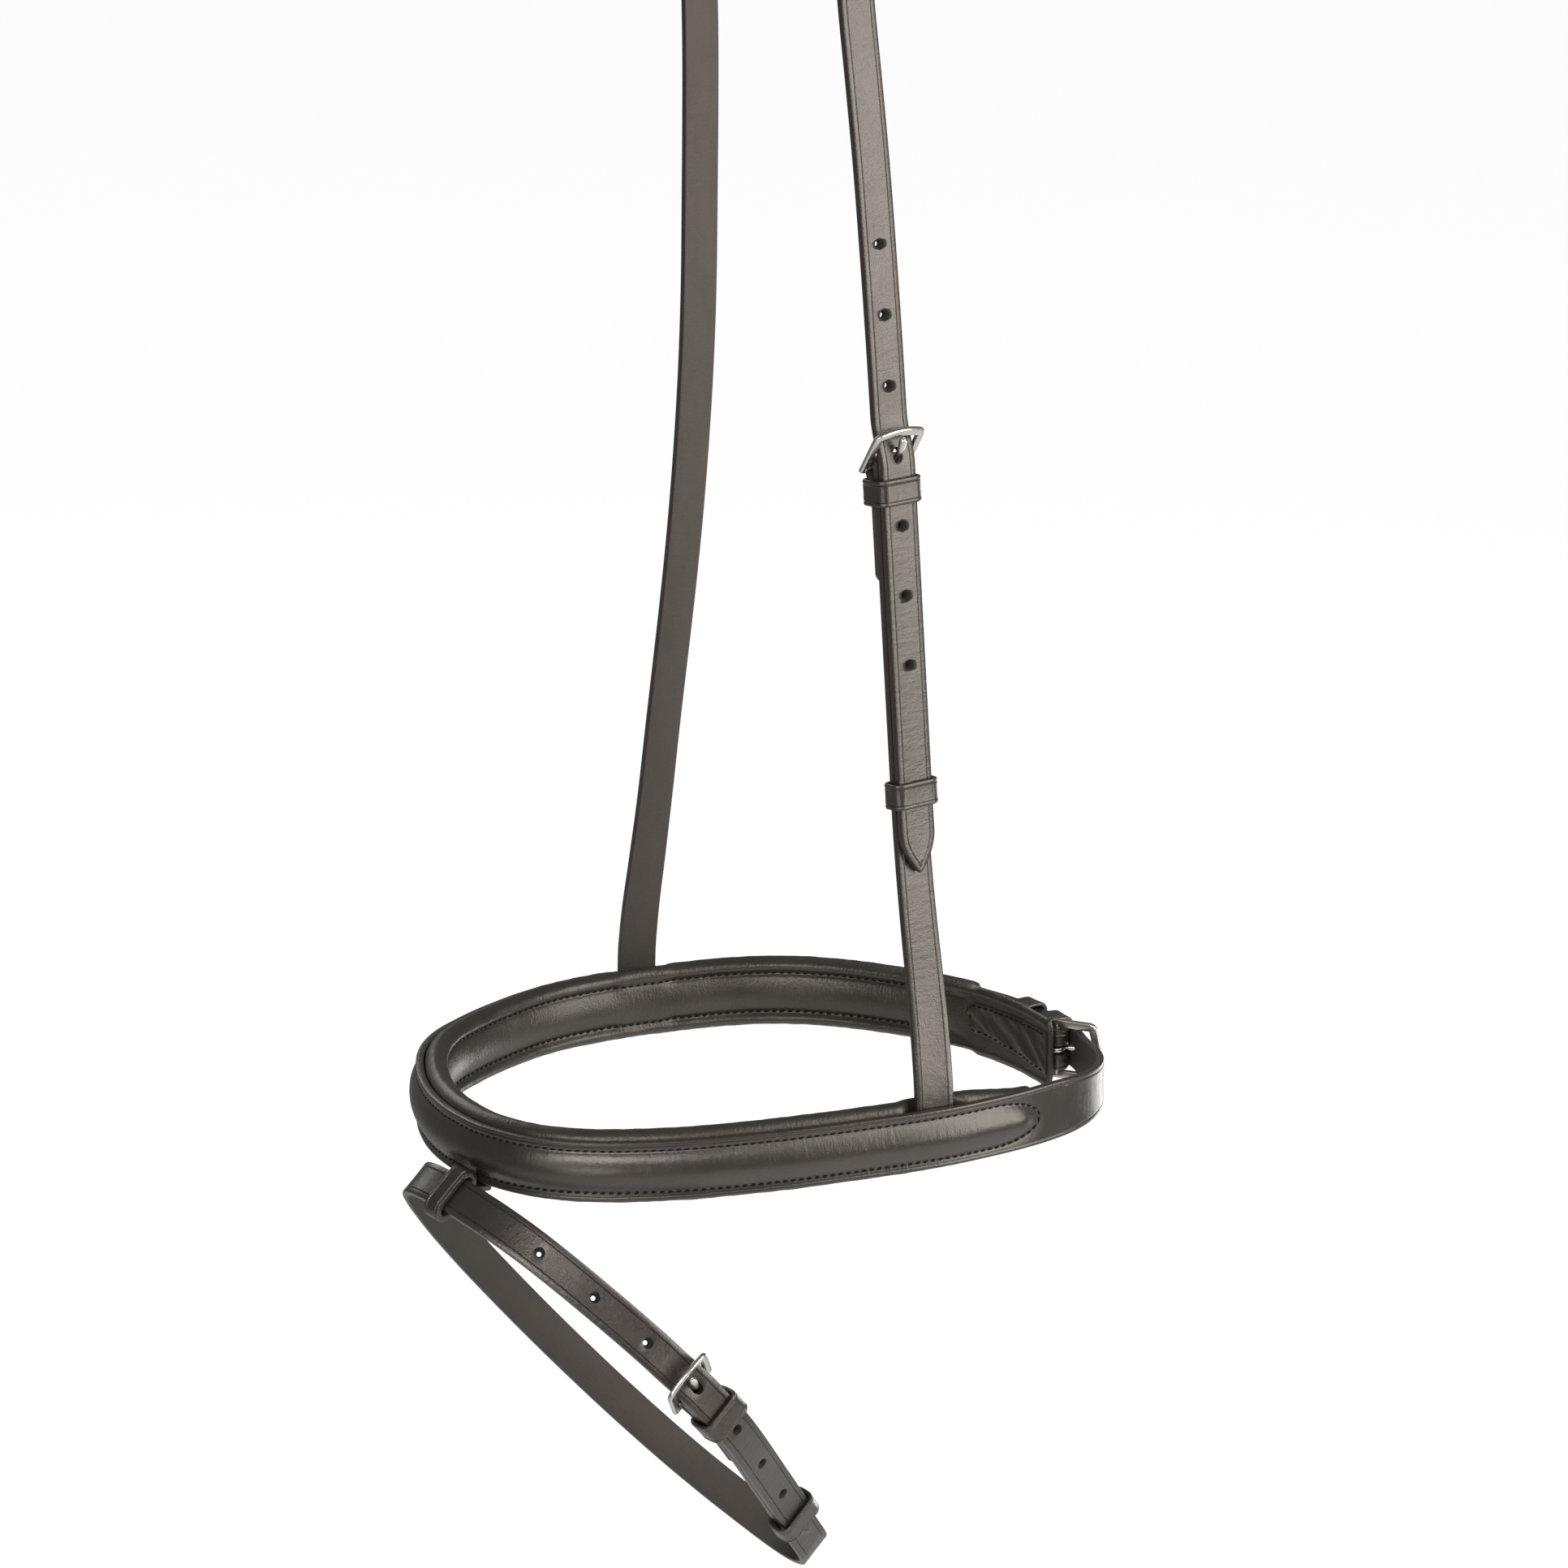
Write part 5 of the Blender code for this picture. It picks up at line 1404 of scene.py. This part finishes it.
def inner_level(s, h):
    """The lining's inner face at a height."""
    face = sorted((height, w) for (share, level), (w, height) in zip(PAD_LINE, pad_section(s))
                  if share > 0.5 and abs(level) < SEEN_HEIGHT)
    return float(np.interp(h, [height for height, _ in face], [w for _, w in face]))


def patch_wave(s, h, half):
    """Soft creases that slant along the patch and die out at its edge."""
    where = Vector((s * 130 - h * 210, s * 50 + h * 40, 3.0))
    where += 0.5 * noise.noise_vector(Vector((s * 70, h * 90, 8.0)))
    inside = smoothstep((half - abs(h)) / PATCH_FADE)
    rise = PATCH_RISE * (0.50 + 0.50 * inside) + PATCH_FOLD * inside * noise.noise(where)
    return max(rise, PATCH_LEAST)


patch_stops = [float(s) for s in np.linspace(PATCH_START, PATCH_END, PATCH_COLUMNS)]


def patch_place(i, j):
    s = patch_stops[i]
    half = patch_half(s)
    outer = j <= PATCH_ROWS
    share = j / PATCH_ROWS if outer else 1 - (j - PATCH_ROWS) / PATCH_ROWS
    h = half * (2 * share - 1)
    return on_patch(s, h, patch_wave(s, h, half) if outer else -PATCH_SUNK)


patch_bm = wrapped(len(patch_stops) - 1, 2 * PATCH_ROWS, patch_place,
                   flat=sheet_flat(patch_stops, PATCH_ROW))
piece_from(patch_bm, "chin_turn_back", LINING, "noseband")

# %% [markdown]
# ## Keepers, runners and the flash loop
#
# Each is a strip of leather bent into a loop round the straps. The strip has the same
# section as a strap, rounded edges and creased lines included.

# %% Bending a strip into a loop
LOOP_STEP = 0.0012
SOFT_CORNER = 0.0023
BULGE = 0.06                       # how far a loop's short sides bow out, of its half width
CORNER_STEPS = 6


def boxed_path(half_x, half_y, radius):
    """A rounded box from the middle of its lower side round to it again: (x, y, length)."""
    corners = ((1, -1, -90), (1, 1, 0), (-1, 1, 90), (-1, -1, 180))
    line = [(0.0, -half_y)]
    for sx, sy, first in corners:
        line += quarter(sx * (half_x - radius), sy * (half_y - radius), radius, first, CORNER_STEPS)
    line.append(line[0])
    path = [Vector(line[0])]
    for point in line[1:]:
        start, point = path[-1], Vector(point)
        count = max(1, round((point - start).length / LOOP_STEP))
        path += [start.lerp(point, k / count) for k in range(1, count + 1)]
    for point in path:
        point.x *= 1 + BULGE * (1 - (point.y / half_y) ** 2)
    return path[:-1]


def strip(path, pattern, matrix, closed=False, side=1):
    """A leather strip along a flat path. side says on which side of it the face is."""
    count = len(path)
    lengths = lengths_along(path)
    normals = []
    for i, point in enumerate(path):
        before = path[i - 1] if i or closed else point
        after = path[(i + 1) % count] if closed or i < count - 1 else point
        along = (after - before).normalized()
        normals.append(side * Vector((along.y, -along.x)))
    section = pattern.column(pattern.length / 2)

    def place(i, j):
        v, d, _ = section[j]
        y, z = path[i] + normals[i] * d
        return matrix @ Vector((v, y, z))

    def flat_place(i, j):
        v, d, rim = section[j]
        return (lengths[i], v, 2 * d / pattern.thickness), rim

    columns = count if closed else count - 1
    return wrapped(columns, len(section), place, closed, flat_place)


def plain_pattern(width, thickness, crease):
    return Pattern(1.0, thickness, lambda u: width / 2, crease)


def leather_loop(node, body, matrix, half_width, half_height, width=KEEPER_WIDTH,
                 thickness=KEEPER_THICKNESS, *, corner, crease=LOOP_CREASE):
    side = thickness / 2
    path = boxed_path(half_width + side, half_height + side, corner + side)
    bm = strip(path, plain_pattern(width, thickness, crease), matrix, closed=True)
    piece_from(bm, node + "_leather", LEATHER, body, [node])


# %% The keepers and runners
def mounted_loop(node, body, rules, distance, strap_width, low, gap):
    """A loop round everything from the level low up to the strap end over the bar."""
    high = rules.over_main + rules.thickness / 2
    matrix = rules.guide.matrix(rules.bar + distance, (low + high) / 2)
    leather_loop(node, body, matrix, strap_width / 2 + gap, (high - low) / 2 + gap,
                 corner=EDGE_ROUND + 3 * GAP)


def mounted_keeper(prefix, body, rules, distance, strap_width):
    low = rules.tail_level - rules.tail_thickness / 2
    low -= rules.spread(distance - KEEPER_WIDTH / 2)
    mounted_loop(prefix + "_keeper", body, rules, distance, strap_width, low, GAP)


flash_rules = Buckle(flash, FLASH_BUCKLE, FLASH_THICKNESS, 0.0)
mounted_keeper("cheek", "noseband", cheek_rules, KEEPER_FROM_BAR, HEAD_WIDTH)
mounted_keeper("chin", "noseband", chin_rules, KEEPER_FROM_BAR, CHIN_WIDTH)
mounted_keeper("flash", "flash", flash_rules, FLASH_KEEPER_FROM_BAR, FLASH_WIDTH)

chin_tail = chin_rules.tail_level - chin_rules.tail_thickness / 2
RUNNERS = (("cheek", cheek_rules, HEAD_RUNNER_FROM_BAR, HEAD_WIDTH, -HEAD_THICKNESS / 2),
           ("chin", chin_rules, CHIN_RUNNER_FROM_BAR, CHIN_WIDTH, chin_tail),
           ("flash", flash_rules, FLASH_RUNNER_FROM_BAR, FLASH_WIDTH, -FLASH_THICKNESS / 2))
for prefix, rules, distance, width, low in RUNNERS:
    node = prefix + "_runner"
    mounted_loop(node, node, rules, distance, width, low, RUNNER_GAP)

# %% The flash strap
flash_route, flash_used = flash_rules.buckled_route(
    flash_rules.fold(), FLASH_BUCKLE + flash.length, 0.0,
    FLASH_HOLES_BELOW * HOLE_PITCH + FLASH_TIP_BEYOND)
flash_pattern = Pattern(flash_route.length, FLASH_THICKNESS,
                        pointed(flash_route.length, FLASH_WIDTH / 2))
strap("flash_strap_leather", "flash", ["flash_strap"], flash_route, flash_pattern,
      [slot_hole(flash_rules)]
      + strap_holes(flash_used, FLASH_HOLES_ABOVE, FLASH_HOLES_BELOW),
      skive=flash_rules.skive)
print("flash strap:", round(flash_route.length, 4), "m")

# %% The flash loop, its neck and its tab
NECK_STEPS = 8
NECK_REACH = 0.9                   # of the hinge's radius: the neck ends inside it

loop_half = FLASH_THICKNESS / 2 + LOOP_ROOM
loop_place = flash.matrix(0.0)
leather_loop("flash_loop", "flash", loop_place, FLASH_WIDTH / 2 + LOOP_ROOM, loop_half,
             LOOP_WIDTH, LOOP_THICKNESS, corner=SOFT_CORNER, crease=NARROW_CREASE)
hinge_low = -TAB_BELOW - 3 * GAP - HINGE_RADIUS
hinge = loop_place.inverted() @ ring.straight(NOSE_FRONT, -GAP - TAB_THICKNESS / 2, hinge_low)
neck_start = Vector((NECK_HEIGHT, -loop_half - LOOP_THICKNESS / 2))
neck_end = Vector((hinge.y, hinge.z))
neck_end += (neck_end - neck_start).normalized() * HINGE_RADIUS * NECK_REACH
neck_path = [neck_start.lerp(neck_end, k / NECK_STEPS) for k in range(NECK_STEPS + 1)]
neck_pattern = plain_pattern(LOOP_WIDTH, 2 * HINGE_RADIUS, NARROW_CREASE)
piece_from(strip(neck_path, neck_pattern, loop_place), "flash_loop_neck", LEATHER, "flash")

tab_height = TAB_BELOW - (NOSE_WIDTH / 2 - TAB_DEPTH)
tab_path = [Vector((-TAB_BELOW + tab_height * k / NECK_STEPS, 0.0))
            for k in range(NECK_STEPS + 1)]
tab_pattern = plain_pattern(LOOP_WIDTH, TAB_THICKNESS, NARROW_CREASE)
tab_matrix = ring.matrix(NOSE_FRONT, -GAP - TAB_THICKNESS / 2)
piece_from(strip(tab_path, tab_pattern, tab_matrix, side=-1), "flash_tab_leather", LEATHER,
           "noseband", ["flash_tab"])

# %% [markdown]
# ## Buckles
#
# A buckle frame is a flat rail with softened edges, bent round three sides, and a round bar
# through its ends. The tongue is wire that hooks round the bar and rests on the end rail.


# %% The buckle frame
RAIL_ROUND = 0.36                  # of its thickness
RAIL_CROWN = 0.00012
EAR_WIDTH = 0.78                   # the ears' ends, as shares of the rail
EAR_THICKNESS = 0.70


def rail_path(y_middle):
    """The middle of the rail in the buckle's plane, from one ear round to the other."""
    radius = BUCKLE_CORNER - RAIL_WIDTH / 2
    turn_x, turn_y = BUCKLE_REACH - radius, y_middle - radius
    half = [(-RAIL_WIDTH / 2 + x * (turn_x + RAIL_WIDTH / 2), y_middle)
            for x in (0.0, 0.02, 0.06, 0.12, 0.3, 0.5, 0.7, 0.9, 0.97)]
    for k in range(9):
        angle = math.pi / 2 * (1 - k / 8)
        half.append((turn_x + radius * math.cos(angle), turn_y + radius * math.sin(angle)))
    half += [(BUCKLE_REACH + RAIL_BOW * (1 - share * share), turn_y * share)
             for share in (0.92, 0.8, 0.6, 0.4, 0.2)]
    return [Vector(p) for p in half + [(BUCKLE_REACH + RAIL_BOW, 0.0)]
            + [(x, -y) for x, y in reversed(half)]]


def rail_section():
    """The rail's section, flat but for soft edges: (across the rail, height)."""
    round_off = RAIL_THICKNESS * RAIL_ROUND
    points = []
    for sx, sz, first in ((1, 1, 0), (-1, 1, 90), (-1, -1, 180), (1, -1, 270)):
        points += quarter(sx * (RAIL_WIDTH / 2 - round_off),
                          sz * (RAIL_THICKNESS / 2 - round_off), round_off, first, 4)
        if sx * sz > 0:
            points.append((0.0, sz * (RAIL_THICKNESS / 2 + RAIL_CROWN)))
    return points


def buckle_frame(node, strap_width, matrix):
    inner = strap_width / 2 + WINDOW_GAP
    path = rail_path(inner + RAIL_WIDTH / 2)
    section = rail_section()

    def place(i, j):
        before, after = path[max(i - 1, 0)], path[min(i + 1, len(path) - 1)]
        along = (after - before).normalized()
        n, z = section[j]
        if i in (0, len(path) - 1):
            n, z = n * EAR_WIDTH, z * EAR_THICKNESS
        x, y = path[i] + n * Vector((along.y, -along.x))
        return matrix @ Vector((x, y, z))

    bm = wrapped(len(path) - 1, len(section), place)
    bar = Matrix.Rotation(math.pi / 2, 4, "X")
    bmesh.ops.create_cone(bm, cap_ends=True, segments=28, radius1=BAR_RADIUS,
                          radius2=BAR_RADIUS, depth=2 * inner + RAIL_WIDTH, matrix=matrix @ bar)
    bmesh.ops.recalc_face_normals(bm, faces=bm.faces)
    piece_from(bm, node + "_frame", NICKEL, node, [node], sharp=50)


# %% The tongue
TONGUE_ROWS = 16
HOOK_STEPS = 18
RISE_STEPS = 5
TIP_POINTS = 7
SWELL_START = 0.55                 # of the way to the tip: the wire gets thicker from here
SWELL_LENGTH = 0.4
TIP_CLOSING = 6.3                  # steps of the tip's quarter turn


def tongue_line():
    """The wire's middle line and radius from the end of its hook to its tip."""
    hook = BAR_RADIUS + TONGUE_GAP + TONGUE_RADIUS
    turn = TONGUE_HOOK_END - 2 * math.pi - TONGUE_HOOK_START
    line = []
    for k in range(HOOK_STEPS):
        angle = TONGUE_HOOK_START + turn * k / HOOK_STEPS
        line.append((hook * math.cos(angle), hook * math.sin(angle), TONGUE_RADIUS))
    rise = tongue_rise()
    tip_x, tip_z = rise[-1]
    knots = [Vector(point) for point in rise]
    before = Vector(line[-1][:2])
    for i in range(len(knots) - 1):
        a = knots[i - 1] if i else before
        b, c = knots[i], knots[i + 1]
        d = knots[i + 2] if i + 2 < len(knots) else c + (c - b)
        for k in range(RISE_STEPS):
            x, z = spline(a, b, c, d, k / RISE_STEPS)
            share = smoothstep((x / tip_x - SWELL_START) / SWELL_LENGTH)
            line.append((x, z, TONGUE_RADIUS + (TONGUE_TIP_RADIUS - TONGUE_RADIUS) * share))
    for k in range(TIP_POINTS):
        angle = math.pi / 2 * k / TIP_CLOSING
        line.append((tip_x + TONGUE_TIP_RADIUS * math.sin(angle), tip_z,
                     TONGUE_TIP_RADIUS * math.cos(angle)))
    return line


def tongue(node, matrix):
    line = tongue_line()

    def place(i, j):
        x, z, radius = line[i]
        before, after = line[max(i - 1, 0)], line[min(i + 1, len(line) - 1)]
        along = Vector((after[0] - before[0], after[1] - before[1])).normalized()
        angle = 2 * math.pi * j / TONGUE_ROWS
        side = radius * math.sin(angle)
        return matrix @ Vector((x - along.y * side, radius * math.cos(angle),
                                z + along.x * side))

    bm = wrapped(len(line) - 1, TONGUE_ROWS, place)
    piece_from(bm, node + "_wire", NICKEL, node, [node], sharp=60)


def mounted_buckle(prefix, rules, strap_width):
    tangent, across, outward = rules.guide.frame(rules.bar)
    matrix = turned((-tangent, -across, outward),
                    rules.guide.place(rules.bar, rules.level, 0.0))
    matrix = matrix @ Matrix.Rotation(-BUCKLE_TILT, 4, "Y")
    buckle_frame(prefix + "_buckle", strap_width, matrix)
    tongue(prefix + "_tongue", matrix)


mounted_buckle("cheek", cheek_rules, HEAD_WIDTH)
mounted_buckle("chin", chin_rules, CHIN_WIDTH)
mounted_buckle("flash", flash_rules, FLASH_WIDTH)

# %% [markdown]
# ## Stitching
#
# The noseband is sewn round the foot of its raised part, its turned-back end is sewn down on
# the lining at the chin, and two rows run in the lining's grooves. Each stitch is a short
# slanting bump that sinks at both ends.

# %% Stitches along a line
STITCH_PITCH = 0.0030
STITCH_LENGTH = 0.0021
STITCH_RADIUS = 0.00042
STITCH_SLANT = math.radians(7)
STITCH_RISE = 0.00005              # its middle line above soft leather
STITCH_SINK = 0.00002              # the same below the band's face
PATCH_SEWN = slice(4, -6)          # the stops of the patch that its seam runs past
GROOVE_END = NEAR_PAD_END - 0.01
GROOVE_STEPS = 300


def stitched(name, body, points, normals):
    """Stitches at even steps along a line of points, with the surface normal at each."""
    lengths = lengths_along(points)
    count = max(2, round(lengths[-1] / STITCH_PITCH))
    bm = bmesh.new()
    for k in range(count):
        reach = lengths[-1] * (k + 0.5) / count
        i = int(np.clip(np.searchsorted(lengths, reach) - 1, 0, len(points) - 2))
        share = (reach - lengths[i]) / max(lengths[i + 1] - lengths[i], 1e-9)
        along = (points[i + 1] - points[i]).normalized()
        normal = normals[i]
        normal = (normal - normal.dot(along) * along).normalized()
        along = Matrix.Rotation(STITCH_SLANT, 3, normal) @ along
        turn = turned((along, normal.cross(along), normal),
                      points[i].lerp(points[i + 1], share))
        size = Matrix.Diagonal((STITCH_LENGTH / 2, STITCH_RADIUS, STITCH_RADIUS * 0.9, 1))
        bmesh.ops.create_uvsphere(bm, u_segments=8, v_segments=6, radius=1.0,
                                  matrix=turn @ size)
    piece_from(bm, name, THREAD, body, sharp=80)


# %% The seam round the raised part
TURN_STEPS = 24
SEAM_COLUMNS = 320


def seam_line():
    """Places (s, v) round the foot of the raised part."""
    long_half = RAISED_POINT + CHANNEL_OUT
    high_half = RAISED_WIDTH / 2 + CHANNEL_OUT
    low, high = RAISED_ENDS[0] + RAISED_POINT, RAISED_ENDS[1] - RAISED_POINT
    turn = [math.pi / 2 * k / TURN_STEPS for k in range(TURN_STEPS + 1)]
    first = [(low - long_half * math.cos(a), high_half * math.sin(a)) for a in turn]
    last = [(high + long_half * math.cos(a), high_half * math.sin(a)) for a in turn[::-1]]
    straight = [(float(s), high_half) for s in np.linspace(low, high, SEAM_COLUMNS)[1:-1]]
    top = first + straight + last
    return top + [(s, -v) for s, v in reversed(top[1:-1])] + top[:1]


def band_surface(s, v):
    u = s + band_offset
    return band_route.bend(u, v, NOSE_THICKNESS / 2 + band_lift(u, v) - STITCH_SINK)


def ring_outward(s, v):
    return (ring.place(s, 0.01, v) - ring.place(s, 0.0, v)).normalized()


seam = seam_line()
seam_points = [band_surface(s, v) for s, v in seam]
stitched("noseband_stitching", "noseband", seam_points, [ring_outward(s, v) for s, v in seam])

patch_seam = [(s, patch_half(s) - PATCH_SEAM_IN) for s in patch_stops[PATCH_SEWN]]
patch_seam += [(s, -h) for s, h in reversed(patch_seam)]
patch_points = [on_patch(s, h, patch_wave(s, h, patch_half(s)) + STITCH_RISE)
                for s, h in patch_seam]
stitched("turn_back_stitching", "noseband", patch_points,
         [-ring_outward(s, h) for s, h in patch_seam])

for name, h in (("upper_groove_stitching", GROOVE), ("lower_groove_stitching", -GROOVE)):
    places = [float(s) for s in np.linspace(FLAT_END + FLAT_FADE, GROOVE_END, GROOVE_STEPS)]
    points = [ring.place(s, inner_level(s, h) - STITCH_RISE, h) for s in places]
    stitched(name, "noseband", points, [-ring_outward(s, h) for s in places])
print("seam:", round(lengths_along(seam_points)[-1], 3), "m")

# %% [markdown]
# ## Floor, light and camera
#
# The piece hangs in the air in a white studio, well above a pale floor. Big soft lamps light
# it from both sides, from above and from behind. The camera has the photograph's angle.

# %% The studio
FLOOR_HEIGHT = -1.45
FLOOR_SIZE = 12.0
FLOOR_GLOW = 0.80                  # as the camera sees it
AIM = Vector((-0.01, -0.03, -0.38))


def direction(azimuth, elevation):
    """Towards a place at these angles, from the front (-Y) round to the right (+X)."""
    level = math.cos(elevation)
    return Vector((math.sin(azimuth) * level, -math.cos(azimuth) * level, math.sin(elevation)))


def pale_floor():
    finish = Finish("floor")
    finish.feed("Base Color", colour(0.90, 0.90, 0.90))
    finish.feed("Roughness", 0.9)
    seen = finish.node("LightPath", {}, output=0)
    finish.feed("Emission Color", finish.mix(seen, colour(0, 0, 0), colour(1, 1, 1)))
    finish.feed("Emission Strength", FLOOR_GLOW)
    return finish.material


def lamp(name, azimuth, elevation, distance, size, glow):
    """A softbox that is seen from the noseband at these angles in degrees. glow is in W/m2 sr."""
    light = bpy.data.lights.new(name, "AREA")
    light.shape = "RECTANGLE"
    light.size, light.size_y = size
    light.energy = glow * math.pi * size[0] * size[1]
    obj = in_scene(name, light)
    away = direction(math.radians(azimuth), math.radians(elevation))
    obj.location = AIM + distance * away
    obj.rotation_mode = "QUATERNION"
    obj.rotation_quaternion = (-away).to_track_quat("-Z", "Y")


floor_bm = bmesh.new()
bmesh.ops.create_grid(floor_bm, x_segments=1, y_segments=1, size=FLOOR_SIZE)
bmesh.ops.translate(floor_bm, vec=(0, 0, FLOOR_HEIGHT), verts=floor_bm.verts)
floor_mesh = bpy.data.meshes.new("floor")
floor_bm.to_mesh(floor_mesh)
floor_bm.free()
floor_mesh.materials.append(pale_floor())
floor = in_scene("floor", floor_mesh)

SOFTBOXES = (("key", 31, 20, 1.9, (1.05, 2.30), 4.6),
             ("left_strip", -47, 31, 2.3, (1.86, 0.40), 9.0),
             ("left_low", -50, -5, 2.4, (0.50, 0.75), 5.0),
             ("left_side", -72, 14, 2.4, (0.60, 1.20), 1.6),
             ("right_low", 104, -18, 1.5, (0.80, 0.70), 3.2),
             ("back_rim", 178, 30, 2.2, (1.30, 0.80), 2.8),
             ("front_wall", -22, 0, 2.6, (4.00, 2.40), 0.06))
for name, azimuth, elevation, distance, size, glow in SOFTBOXES:
    lamp(name, azimuth, elevation, distance, size, glow)


# %% The white surroundings
def white_world():
    world = bpy.data.worlds.new("studio")
    world.use_nodes = True
    bpy.context.scene.world = world
    tree = world.node_tree
    path = tree.nodes.new("ShaderNodeLightPath")
    back = tree.nodes["Background"]
    back.inputs["Color"].default_value = colour(1, 1, 1)
    camera = Value(tree, path.outputs["Is Camera Ray"])
    through = Value(tree, path.outputs["Is Transmission Ray"])
    connect(tree, back.inputs["Strength"], camera.math("MAXIMUM", through) * 0.82 + 0.18)


white_world()

# %% The camera
TARGET = Vector((-0.0059, -0.0125, -0.350))
AZIMUTH = math.radians(-38)
ELEVATION = math.radians(17)
DISTANCE = 2.400
SENSOR = 36.0                      # millimetres
PICTURE_WIDTH = 1932               # pixels of the photograph
FOCAL_LENGTH = 8160                # in the same pixels

camera = in_scene("camera", bpy.data.cameras.new("camera"))
back = direction(AZIMUTH, ELEVATION)
camera.location = TARGET + DISTANCE * back
camera.rotation_mode = "QUATERNION"
camera.rotation_quaternion = (-back).to_track_quat("-Z", "Y")
camera.data.sensor_width = SENSOR
camera.data.lens = SENSOR * FOCAL_LENGTH / PICTURE_WIDTH
bpy.context.scene.camera = camera
bpy.context.scene.view_settings.view_transform = "Standard"
